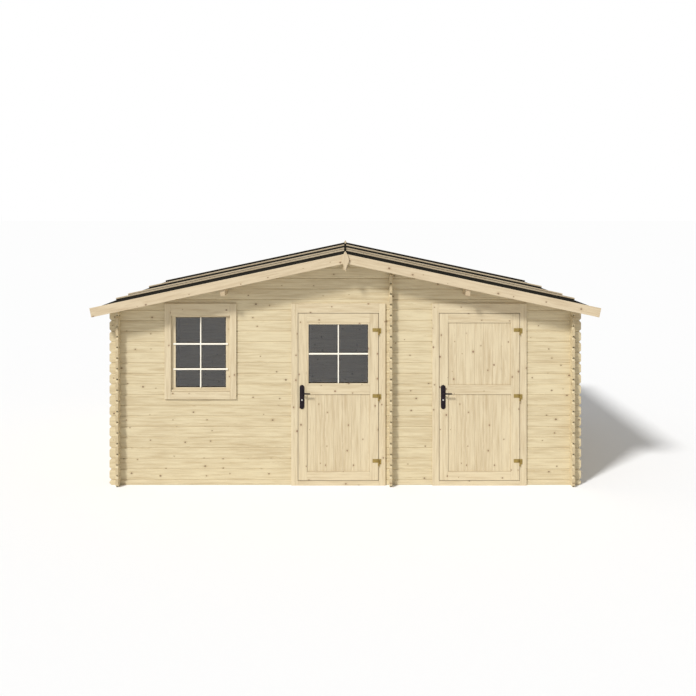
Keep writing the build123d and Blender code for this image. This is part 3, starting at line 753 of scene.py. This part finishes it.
next_line = 2
next_station = next_line * felt_lines
for number in range(len(felt_edges) - 1):
    start = felt_edges[number] + (felt_gap if number else 0)
    end = felt_edges[number + 1] - (felt_gap if number < len(batten_places) else 0)
    waves = [(felt_wave.uniform(*wave_pitches), felt_wave.uniform(*wave_phases)) for wave in range(wave_count)]
    first = len(felt_points)
    for station in range(-felt_stations, felt_stations + 1):
        side = -1 if station < 0 else 1
        run = abs(station) / felt_stations * roof_run
        for line in range(felt_lines):
            y = start + (end - start) * line / (felt_lines - 1)
            uneven = sum(math.sin(pitch * (run + y) + phase) for pitch, phase in waves) / wave_count
            edge = min(line, felt_lines - 1 - line, felt_stations - abs(station), 1)
            for lift in (board_thick, felt_top - felt_rise * (1 - edge * uneven) / 2):
                shift = -lift * rise if station == 0 else 0
                felt_points.append(slope_frame(side) @ Vector((run + shift, lift, y)))
    spans = 2 * felt_stations
    for station in range(spans):
        corner = first + station * next_station
        for line in range(felt_lines - 1):
            for layer, turn in ((0, -1), (1, 1)):
                felt_face(corner + line * next_line + layer, next_station, next_line, turn)
        for line, turn in ((0, -1), (felt_lines - 1, 1)):
            felt_face(corner + line * next_line, 1, next_station, turn)
    for line in range(felt_lines - 1):
        for station, turn in ((0, 1), (spans, -1)):
            felt_face(first + station * next_station + line * next_line, 1, next_line, turn)
felt_mesh = bpy.data.meshes.new("felt")
felt_mesh.from_pydata(felt_points, [], felt_faces)
felt_shell = bmesh.new()
felt_shell.from_mesh(felt_mesh)
bmesh.ops.recalc_face_normals(felt_shell, faces=felt_shell.faces)
felt_shell.to_mesh(felt_mesh)
felt_shell.free()
upturns = []
for side in (-1, 1):
    strips = []
    for y in batten_places:
        strips += [(y - batten_half - upturn_thick, felt_top + upturn), (y + batten_half, felt_top + upturn)]
    strips += [(-roof_end, end_upturn_top), (roof_end - upturn_thick, end_upturn_top)]
    for near, top in strips:
        strip = oblong(batten_gap, roof_run, felt_top - felt_lap, top)
        upturns.append((sawn(strip, near, near + upturn_thick, felt_arris), slope_frame(side)))
dress("felt_strips", [felt_mesh, boards_mesh(upturns)], felt_black, "shed", "roof_felt")

# Gable ornaments
# A pointed piece of planed spruce is nailed over the joint of the wind boards at each end. It is
# bowed above its waist and hollow below it.
ornament_top = ridge_under + fascia_top / math.cos(slope) + 0.03
ornament_waist = ornament_top - 0.102
ornament_point = ornament_top - 0.214
ornament_half = 0.041
ornament_steps = 8
ornament_arris = 0.002
upper_bow = 0.0065
lower_bow = -0.004


def bowed(start, end, bulge):
    """Points along a shallow bow between two places, without the last one."""
    points = []
    length = math.dist(start, end)
    for number in range(ornament_steps):
        share = number / ornament_steps
        out = 4 * bulge * share * (1 - share)
        u = start[0] + (end[0] - start[0]) * share + out * (end[1] - start[1]) / length
        v = start[1] + (end[1] - start[1]) * share - out * (end[0] - start[0]) / length
        points.append((u, v))
    return points


top_corner = (ornament_top, 0)
right_corner = (ornament_waist, ornament_half)
low_corner = (ornament_point, 0)
left_corner = (ornament_waist, -ornament_half)
ornament_face = [
    *bowed(top_corner, right_corner, upper_bow), *bowed(right_corner, low_corner, lower_bow),
    *bowed(low_corner, left_corner, lower_bow), *bowed(left_corner, top_corner, upper_bow),
]
for end_name, end in (("front", -1), ("rear", 1)):
    ends = span(0, end, roof_end + fascia_thick, roof_end + 2 * fascia_thick)
    ornament = boards_mesh([(sawn(ornament_face, *ends, ornament_arris), upright)])
    dress(f"{end_name}_ornament_timber", [ornament], roof_timber, "shed", f"{end_name}_ornament")

# Window
# A spruce casing outside and inside grips the cut logs. The fixed sash between them has a drip bar
# at its foot, one sheet of glass, and bars on the glass that divide it into six lights. Their pale
# colour is a painted highlight, and black strips of painted shade lie round the lights.
wall_front = wall_y + half_wall
casing_front = wall_front + casing_thick
casing_layers = ((-casing_front, -wall_front), (-inner_face, -casing_back))
in_wall = (-wall_front, -inner_face)
joinery_arris = 0.002
fine_arris = 0.001
least_arris = 0.0005
window_half = 0.38
window_open = 0.313
window_pocket_half = 0.323
window_bottom = 0.913
casing_top = 1.928
window_open_bottom = 0.993
window_open_top = 1.798
lining_bottom = 0.958
sash_front = wall_front - 0.012
sash_back = wall_front - 0.036
sash_bottom = 0.983
sash_top = 1.808
glass_half = 0.266
glass_bottom = 1.035
glass_top = 1.778
glass_front = 1.648
drip_out = 0.008
drip_top = 1.013
drip_arris = 0.004

joinery_timber = timber(
    "joinery_spruce", "joinery", (0.645, 0.545, 0.362), (0.41, 0.300, 0.165), (0.19, 0.105, 0.06), 0.55,
    (0.66, 0.57, 0.41), edge_share=0.3, ring_width=0.0028,
)


def about(middle, half):
    """The two ends of a length, given by its middle."""
    return middle - half, middle + half


def board_up(sides, faces, ends, edge=joinery_arris):
    """An upright board between two sides, two faces and two ends."""
    return (sawn(oblong(*ends, *sides), *faces, edge), upright)


def board_across(ends, faces, sides, edge=joinery_arris):
    """A board that runs from side to side between two ends, two faces and two heights."""
    return (sawn(oblong(*ends, *sides), *faces, edge), along_x_on_edge)


in_opening = about(window_x, window_open)
window_boards = []
for layer in casing_layers:
    for side in (-1, 1):
        sides = span(window_x, side, window_open, window_half)
        window_boards.append(board_up(sides, layer, (window_bottom, casing_top)))
    for heights in ((window_bottom, window_open_bottom), (window_open_top, casing_top)):
        window_boards.append(board_across(in_opening, layer, heights))
for side in (-1, 1):
    sides = span(window_x, side, window_pocket_half, window_pocket)
    window_boards.append(board_up(sides, in_wall, (lining_bottom, gable_bottom), fine_arris))
for heights in ((lining_bottom, sash_bottom), (sash_top, gable_bottom)):
    window_boards.append(board_across(about(window_x, window_pocket_half), in_wall, heights, fine_arris))
dress("window_casing", [boards_mesh(window_boards)], joinery_timber, "shed", "window_frame")

behind_casing = (-wall_front, -sash_front)
in_sash = (-sash_front, -sash_back)
sash_boards = []
for side in (-1, 1):
    sides = span(window_x, side, glass_half, window_pocket_half)
    sash_boards.append(board_up(sides, in_sash, (sash_bottom, sash_top)))
    sides = span(window_x, side, window_open, window_pocket_half)
    sash_boards.append(board_up(sides, behind_casing, (sash_bottom, sash_top), fine_arris))
for heights in ((sash_bottom, glass_bottom), (glass_top, sash_top)):
    sash_boards.append(board_across(about(window_x, glass_half), in_sash, heights))
for heights in ((sash_bottom, window_open_bottom), (window_open_top, sash_top)):
    sash_boards.append(board_across(in_opening, behind_casing, heights, fine_arris))
drip_faces = (-wall_front - drip_out, -sash_front)
sash_boards.append(board_across(in_opening, drip_faces, (window_open_bottom, drip_top), drip_arris))
dress("window_sash_frame", [boards_mesh(sash_boards)], joinery_timber, "shed", "window_sash")

bar_half = 0.0085
upright_bar_half = 0.0065
bar_reach = 0.024
bar_heights = (1.229, 1.496)
upright_bar_front = -sash_front - 0.010
level_bar_front = -sash_front - 0.0105
# The bars' pale colour is a painted highlight: the same spruce as the joinery, painted paler where the sun
# lights it.
bar_painted_highlight = timber(
    "bar_spruce_painted_highlight", "joinery", (0.90, 0.865, 0.75), (0.76, 0.67, 0.50), (0.55, 0.35, 0.20), 0.1,
    (0.90, 0.87, 0.78), edge_share=0.3, ring_width=0.0025,
)
upright_faces = (upright_bar_front, -glass_front)
bars = [board_up(about(window_x, upright_bar_half), upright_faces, (glass_bottom, glass_top))]
for z in bar_heights:
    for reach, faces in ((bar_reach, (level_bar_front, -sash_front)), (0, (-sash_front, -glass_front))):
        bars.append(board_across(about(window_x, glass_half + reach), faces, about(z, bar_half), fine_arris))
dress("window_bars", [boards_mesh(bars)], bar_painted_highlight, "shed")

# Painted shade: black strips lie round each light of glass, widest at its foot, where the glass edges are in
# shade. Their black is mottled a little.
shade_strip_side = 0.004
shade_strip_foot = 0.009
shade_strip_thick = 0.0025
shade_strip_over = 0.0003
shade_strip_material, shade_strip_tree, shade_strip_surface = new_material("glass_edge_painted_shade")
shade_strip_mottle = object_noise(shade_strip_tree, 60.0, 4.0)
shade_strip_tone = mixed(shade_strip_tree, shade_strip_mottle, (0.012, 0.010, 0.008, 1), (0.035, 0.029, 0.023, 1))
set_sockets(shade_strip_tree, shade_strip_surface, {"Base Color": shade_strip_tone, "Roughness": 0.7, "Specular IOR Level": 0.2})
shade_strip_black = (shade_strip_material, "black_metal")


def painted_shade_strips(middle_x, sides, bottom, top, bar_middles, front):
    """Black strips of painted shade round the lights of a sheet of glass, which its bars divide."""
    faces = (front - shade_strip_thick, front)
    proud_faces = (front - shade_strip_thick - shade_strip_over, front)
    foots = [bottom, *(z + bar_half for z in bar_middles)]
    tops = [*(z - bar_half for z in bar_middles), top]
    bar_left, bar_right = about(middle_x, upright_bar_half)
    strips = []
    for foot, head in zip(foots, tops):
        strips.append(board_across(sides, faces, (foot, foot + shade_strip_foot), least_arris))
        strips.append(board_across(sides, faces, (head - shade_strip_side, head), least_arris))
        ends = (foot + shade_strip_foot, head - shade_strip_side)
        for x, way in ((sides[0], 1), (sides[1], -1), (bar_left, -1), (bar_right, 1)):
            strips.append(board_up(span(x, way, 0, shade_strip_side), proud_faces, ends, least_arris))
    return boards_mesh(strips)


in_sash_frame = about(window_x, glass_half)
# The window's lights get their black strips of painted shade.
window_seals = painted_shade_strips(window_x, in_sash_frame, glass_bottom, glass_top, bar_heights, -glass_front)
dress("window_seals", [window_seals], shade_strip_black, "shed")

glazing, glass_tree, glass_surface = new_material("window_glass")
set_sockets(glass_tree, glass_surface, {
    "Base Color": (0.89, 0.87, 0.84, 1),
    "Transmission Weight": 1.0,
    "IOR": 1.61,
    "Roughness": mapped(glass_tree, object_noise(glass_tree, 3.0, 4.0), 0.0, 0.05),
})
for node in ("window_glass", "glazed_door_glass"):
    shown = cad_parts[node]
    shown.data.materials.clear()
    shown.data.materials.append(glazing)

# Door frames
# Casing boards inside and outside grip the cut ends of the logs, with a lining between them. A stop
# closes the gap behind the leaf, and a spruce threshold runs between the posts.
opening_half = 0.429
lining = 0.025
stop = 0.013
leaf_back = casing_front - 0.04
stop_back = leaf_back - 0.005
head_bottom = 1.826
head_boards, threshold_boards = [], []
behind_leaf = (-stop_back, -casing_back)
for door, door_x in doors.items():
    posts = []
    for side in (-1, 1):
        sides = span(door_x, side, opening_half, frame_half)
        posts += [board_up(sides, layer, (0, casing_top)) for layer in casing_layers]
        sides = span(door_x, side, opening_half, opening_half + lining)
        posts.append(board_up(sides, in_wall, (0, gable_bottom), least_arris))
        sides = span(door_x, side, opening_half, opening_half - stop)
        posts.append(board_up(sides, behind_leaf, (floor_top, head_bottom - stop)))
    dress(f"{door}_frame", [boards_mesh(posts)], joinery_timber, "shed", f"{door}_posts")
    ends = about(door_x, opening_half)
    head_boards += [board_across(ends, layer, (head_bottom, casing_top)) for layer in casing_layers]
    head_boards.append(board_across(ends, in_wall, (head_bottom, gable_bottom), least_arris))
    head_boards.append(board_across(ends, behind_leaf, (head_bottom - stop, head_bottom)))
    threshold_boards.append(board_across(ends, (-casing_front, -casing_back), (0, floor_top)))
dress("door_head_boards", [boards_mesh(head_boards)], joinery_timber, "shed", "door_heads")
dress("door_threshold_boards", [boards_mesh(threshold_boards)], joinery_timber, "shed", "door_thresholds")

# Door leaves
# Stiles and rails of planed spruce hold upright panel boards with a V at each joint. The upper half
# of the left leaf is glazed, with a bead round the glass and a cross of bars in front of it.
leaf_half = 0.424
leaf_bottom = 0.055
leaf_top = 1.821
stile = 0.091
panel_low = 0.147
panel_mid_low = 0.966
panel_mid_high = 1.064
panel_high = 1.724
panel_front = 1.672
panel_back = 1.652
panel_count = 7
panel_v = 0.003
bead = 0.018
bead_proud = 0.004
glass_bed = 0.002
leaf_middle = casing_front - 0.02
door_glass_front = leaf_middle + glass_bed
door_upright_bar_front = 1.678
door_level_bar_front = 1.6785


def panel_boards(door_x, bottom, top, seed):
    """Upright boards with a V between them, from stile to stile."""
    wide = 2 * (leaf_half - stile) / panel_count
    left = door_x - leaf_half + stile
    board, place = board_up((left, left + wide), (-panel_front, -panel_back), (bottom, top), panel_v)
    return row_of(board, place, panel_count, (wide, 0, 0), seed, joinery_timber)


for door, door_x in doors.items():
    leaf_left, leaf_right = about(door_x, leaf_half)
    inner_left = leaf_left + stile
    inner_right = leaf_right - stile
    leaf_faces = (-casing_front, -leaf_back)
    members = [
        board_up(sides, leaf_faces, (leaf_bottom, leaf_top))
        for sides in ((leaf_left, inner_left), (inner_right, leaf_right))
    ]
    for heights in ((leaf_bottom, panel_low), (panel_mid_low, panel_mid_high), (panel_high, leaf_top)):
        members.append(board_across((inner_left, inner_right), leaf_faces, heights))
    meshes = [panel_boards(door_x, panel_low, panel_mid_low, 41)]
    if door == "glazed_door":
        light_sides = (inner_left + bead, inner_right - bead)
        light_foot = panel_mid_high + bead
        light_top = panel_high - bead
        middle = (panel_mid_high + panel_high) / 2
        outer_bead = (-casing_front - bead_proud, -leaf_middle - glass_bed)
        inner_bead = (-leaf_middle + glass_bed, -leaf_back)
        for faces in (outer_bead, inner_bead):
            for sides in ((inner_left, light_sides[0]), (light_sides[1], inner_right)):
                members.append(board_up(sides, faces, (panel_mid_high, panel_high)))
            for heights in ((panel_mid_high, light_foot), (light_top, panel_high)):
                members.append(board_across(light_sides, faces, heights))
        upright_faces = (-door_upright_bar_front, -door_glass_front)
        level_faces = (-door_level_bar_front, -door_glass_front)
        # These bars carry the same painted highlight in their pale colour.
        door_bars = [
            board_up(about(door_x, upright_bar_half), upright_faces, (light_foot, light_top)),
            board_across(light_sides, level_faces, about(middle, bar_half), fine_arris),
        ]
        # The door's light gets black strips of painted shade round it.
        door_painted_shade_strips = painted_shade_strips(door_x, light_sides, light_foot, light_top, (middle,), -door_glass_front)
        dress("glazed_door_seals", [door_painted_shade_strips], shade_strip_black, door)
        dress("glazed_door_bars", [boards_mesh(door_bars)], bar_painted_highlight, door)
    else:
        meshes.append(panel_boards(door_x, panel_mid_high, panel_high, 43))
    meshes.append(boards_mesh(members))
    dress(f"{door}_joinery", meshes, joinery_timber, door, f"{door}_leaf")

# Hinges
# Three lift-off hinges of yellow brass a door: a plate and knuckle on the leaf turn on a pin that
# stands in a lower knuckle on the post. Each plate is held by countersunk cross-head screws.
hinge_heights = (0.262, 0.949, 1.647)
hinge_long = 0.062
hinge_tall = 0.038
hinge_thick = 0.003
hinge_corner = 0.004
arm_corner = 0.003
metal_arris = 0.0006
pin_side = 0.003
pin_out = 0.010
pin_over = 0.002
knuckle_reach = 0.007
pin_reach = 0.004
pin_play = 0.0003
lower_knuckle = 0.035
frame_plate = 0.018
frame_plate_gap = 0.002
arm_lap = 0.006
arm_inside = 0.0005
leaf_screw_places = ((0.014, 0), (0.038, -0.011), (0.038, 0.011), (0.054, 0))
post_screw_lifts = (-0.02, 0.012)


def metal(name, slot, colour, worn, roughness, metallic=1.0, specular=0.5, grain_size=1500.0):
    """A metal finish with small pits, rubbed places and uneven gloss."""
    material, tree, surface = new_material(name)
    pits = object_noise(tree, grain_size, 2.0)
    rubbing = object_noise(tree, 45.0, 4.0)
    bump = add_node(tree, "ShaderNodeBump", {"Height": pits, "Strength": 0.25, "Distance": 0.0002})
    set_sockets(tree, surface, {
        "Base Color": mixed(tree, mapped(tree, rubbing, 0.0, 1.0, 0.45, 0.75), (*colour, 1), (*worn, 1)),
        "Metallic": metallic,
        "Roughness": mapped(tree, rubbing, roughness * 0.75, roughness * 1.3),
        "Specular IOR Level": specular,
        "Normal": bump.outputs["Normal"],
    })
    return material, slot


hinge_brass = metal("hinge_brass", "hinge_brass", (0.36, 0.26, 0.085), (0.24, 0.165, 0.05), roughness=0.34)
screw_brass = metal("screw_brass", "hinge_brass", (0.42, 0.31, 0.13), (0.25, 0.18, 0.08), roughness=0.4)


def arc(middle_z, middle_x, reach, first, quarters, steps):
    """Points round a middle, from a number of quarter turns on, in the order height, side."""
    angles = [math.radians(90) * (first + quarters * step / steps) for step in range(steps + 1)]
    return [(middle_z + reach * math.sin(angle), middle_x + reach * math.cos(angle)) for angle in angles]


def circle(middle_z, middle_x, reach, sides=24):
    """The outline of a round piece, in the order height, side."""
    return arc(middle_z, middle_x, reach, 0, 4, sides)[:-1]


def rounded(sides, ends, corner, steps=4):
    """The outline of a plate with round corners, in the order height, side."""
    left, right = sides[0] + corner, sides[1] - corner
    low, high = ends[0] + corner, ends[1] - corner
    points = []
    for turn, (z, x) in enumerate(((high, right), (high, left), (low, left), (low, right))):
        points += arc(z, x, corner, turn, 1, steps)
    return points


def turned(radius, low, high, x, y):
    """An upright round piece with a small edge."""
    outline = [(across, back) for back, across in circle(0, 0, radius)]
    return (sawn(outline, low, high, metal_arris), Matrix.Translation((x, y, 0)))


def smoothed(mesh, angle=35):
    """Shade the round faces of a mesh smooth and keep its sharp edges."""
    mesh.shade_smooth()
    mesh.set_sharp_from_angle(angle=math.radians(angle))
    return mesh


def screw_head(name, radius, proud):
    """A countersunk head with a cross recess."""
    rim = [radius] * 16
    shoulder = [radius * 0.82] * 16
    cross = [radius * 0.58, radius * 0.2, radius * 0.16, radius * 0.2] * 4
    sunk = -0.0005
    recess = -0.0004
    head = bmesh.new()
    rings = []
    for reaches, height in (
        (rim, sunk), (rim, proud * 0.5), (shoulder, proud), (cross, proud), (cross, recess),
    ):
        angles = [2 * math.pi * side / len(reaches) for side in range(len(reaches))]
        rings.append([
            head.verts.new((reach * math.cos(angle), reach * math.sin(angle), height))
            for reach, angle in zip(reaches, angles)
        ])
    closed(head, rings)
    bmesh.ops.recalc_face_normals(head, faces=head.faces)
    mesh = bpy.data.meshes.new(name)
    head.to_mesh(mesh)
    head.free()
    return placed(name, mesh)


# Fixings: a head on every point, facing out, and turned by chance about its own axis
fixings, given, gives = new_group(
    "fixings",
    "GeometryNodeTree",
    (
        ("Places", "Geometry"), ("Head", "Object"), ("Facing", "Vector"), ("Seed", "Int"),
        ("Metal", "Material"),
    ),
    (("Made", "Geometry"),),
)
head_shape = add_node(fixings, "GeometryNodeObjectInfo", {"Object": given["Head"]}).outputs["Geometry"]
facing = {"Vector": given["Facing"]}
outward = add_node(fixings, "FunctionNodeAlignRotationToVector", facing, axis="Z").outputs[0]
spin = add_node(fixings, "FunctionNodeRandomValue", {3: math.pi, "Seed": given["Seed"]}, data_type="FLOAT")
spin_turn = add_node(fixings, "ShaderNodeCombineXYZ", {"Z": spin.outputs[1]}).outputs[0]
spin_rotation = add_node(fixings, "FunctionNodeEulerToRotation", {0: spin_turn}).outputs[0]
faced = add_node(fixings, "FunctionNodeRotateRotation", {0: outward, 1: spin_rotation}, rotation_space="LOCAL")
head_places = {"Points": given["Places"], "Instance": head_shape, "Rotation": faced.outputs[0]}
heads = add_node(fixings, "GeometryNodeInstanceOnPoints", head_places).outputs["Instances"]
end_tree(fixings, gives, heads, given["Metal"])


def fixed(places, head, facing, seed, finish):
    """Heads at the places given, all facing one way."""
    points = bpy.data.meshes.new("places")
    points.from_pydata(places, [], [])
    return smoothed(grown(points, fixings, Head=head, Facing=facing, Seed=seed, Metal=finish[0]))


hinge_screw = screw_head("hinge_screw", 0.0038, 0.0004)
plate_face = -casing_front - hinge_thick
for door, door_x in doors.items():
    edge_x = door_x + leaf_half
    pin_x = edge_x + pin_side
    pin_y = -casing_front - pin_out
    frame_left = pin_x + knuckle_reach + frame_plate_gap
    leaf_parts, post_parts = [], []
    leaf_screws, post_screws = [], []
    for height in hinge_heights:
        low, high = about(height, hinge_tall / 2)
        plate = rounded((edge_x - hinge_long, pin_x), (low, high), hinge_corner)
        leaf_parts.append((sawn(plate, plate_face, -casing_front, metal_arris), upright))
        leaf_parts.append(turned(knuckle_reach, low, high, pin_x, pin_y))
        leaf_screws += [(edge_x - across, plate_face, height + up) for across, up in leaf_screw_places]
        knuckle_top = low - pin_play
        lower = knuckle_top - lower_knuckle / 2
        post_parts.append(turned(knuckle_reach, knuckle_top - lower_knuckle, knuckle_top, pin_x, pin_y))
        post_parts.append(turned(pin_reach, high, high + pin_over, pin_x, pin_y))
        plate = rounded((frame_left, frame_left + frame_plate), (lower, high), hinge_corner)
        post_parts.append((sawn(plate, plate_face, -casing_front, metal_arris), upright))
        arm = rounded((pin_x, frame_left + arm_lap), (lower + arm_inside, knuckle_top), arm_corner)
        post_parts.append((sawn(arm, plate_face + arm_inside, -casing_front, metal_arris), upright))
        post_screws += [(frame_left + frame_plate / 2, plate_face, height + up) for up in post_screw_lifts]
    leaf_mesh = smoothed(boards_mesh(leaf_parts))
    dress(f"{door}_hinge_leaves", [leaf_mesh], hinge_brass, door, f"{door}_hinges")
    post_mesh = smoothed(boards_mesh(post_parts))
    dress(f"{door}_hinge_posts", [post_mesh], hinge_brass, "shed", f"{door}_hinge_pins")
    leaf_heads = fixed(leaf_screws, hinge_screw, (0, -1, 0), 51, screw_brass)
    dress(f"{door}_leaf_screws", [leaf_heads], screw_brass, door)
    post_heads = fixed(post_screws, hinge_screw, (0, -1, 0), 52, screw_brass)
    dress(f"{door}_post_screws", [post_heads], screw_brass, "shed")
bpy.data.objects.remove(hinge_screw)

# Handles
# A long black plate with round ends on each face of the leaf, held by two screws, with a lock
# cylinder below the lever. The levers turn together on one square spindle.
spindle_z = 0.980
spindle_inset = 0.039
plate_half_tall = 0.1275
plate_half_wide = 0.025
plate_thick = 0.007
plate_drop = 0.042
plate_arris = 0.0022
plate_screw_reach = 0.108
keyhole_drop = 0.073
lock_reach = 0.0085
lock_proud = 0.0012
lever_long = 0.09
lever_stand = 0.045
lever_thick = 0.011
lever_root = 0.009
lever_tip = 0.006
lever_arris = 0.003
neck_reach = 0.008
neck_inside = 0.002

black_coat = metal(
    "black_metal", "black_metal", (0.010, 0.006, 0.009), (0.020, 0.013, 0.018), roughness=0.5, metallic=0.0,
    specular=0.15, grain_size=900.0,
)
lock_steel = metal("lock_steel", "black_metal", (0.62, 0.60, 0.55), (0.45, 0.43, 0.40), roughness=0.3)
plate_screw = screw_head("plate_screw", 0.0036, 0.0005)
for door, door_x in doors.items():
    handle_x = door_x - leaf_half + spindle_inset
    plate_z = spindle_z - plate_drop
    plates, locks, screw_meshes, lever_parts = [], [], [], []
    for out, face in ((-1, -casing_front), (1, -leaf_back)):
        sides = about(handle_x, plate_half_wide)
        plate = rounded(sides, about(plate_z, plate_half_tall), plate_half_wide, 10)
        plates.append((sawn(plate, *span(face, out, 0, plate_thick), plate_arris), upright))
        lock = circle(spindle_z - keyhole_drop, handle_x, lock_reach)
        locks.append((sawn(lock, *span(face, out, 0, plate_thick + lock_proud), metal_arris), upright))
        plate_front = face + out * plate_thick
        places = [(handle_x, plate_front, height) for height in about(plate_z, plate_screw_reach)]
        screw_meshes.append(fixed(places, plate_screw, (0, out, 0), 61 + out, black_coat))
        base = face + out * (plate_thick + pin_play)
        neck = circle(spindle_z, handle_x, neck_reach)
        lever_parts.append((sawn(neck, *span(base, out, 0, lever_stand - neck_inside), fine_arris), upright))
        tip_x = handle_x + lever_long - lever_tip
        arm = arc(spindle_z, handle_x, lever_root, 1, 2, 12) + arc(spindle_z, tip_x, lever_tip, 3, 2, 12)
        arm_faces = span(base, out, lever_stand - lever_thick, lever_stand)
        lever_parts.append((sawn(arm, *arm_faces, lever_arris), upright))
    plate_mesh = smoothed(boards_mesh(plates))
    dress(f"{door}_long_plates", [plate_mesh], black_coat, door, f"{door}_handle_plates")
    dress(f"{door}_locks", [smoothed(boards_mesh(locks))], lock_steel, door)
    dress(f"{door}_plate_screws", screw_meshes, black_coat, door)
    lever_mesh = smoothed(boards_mesh(lever_parts))
    dress(f"{door}_lever_pair", [lever_mesh], black_coat, f"{door}_lever", f"{door}_lever")
bpy.data.objects.remove(plate_screw)
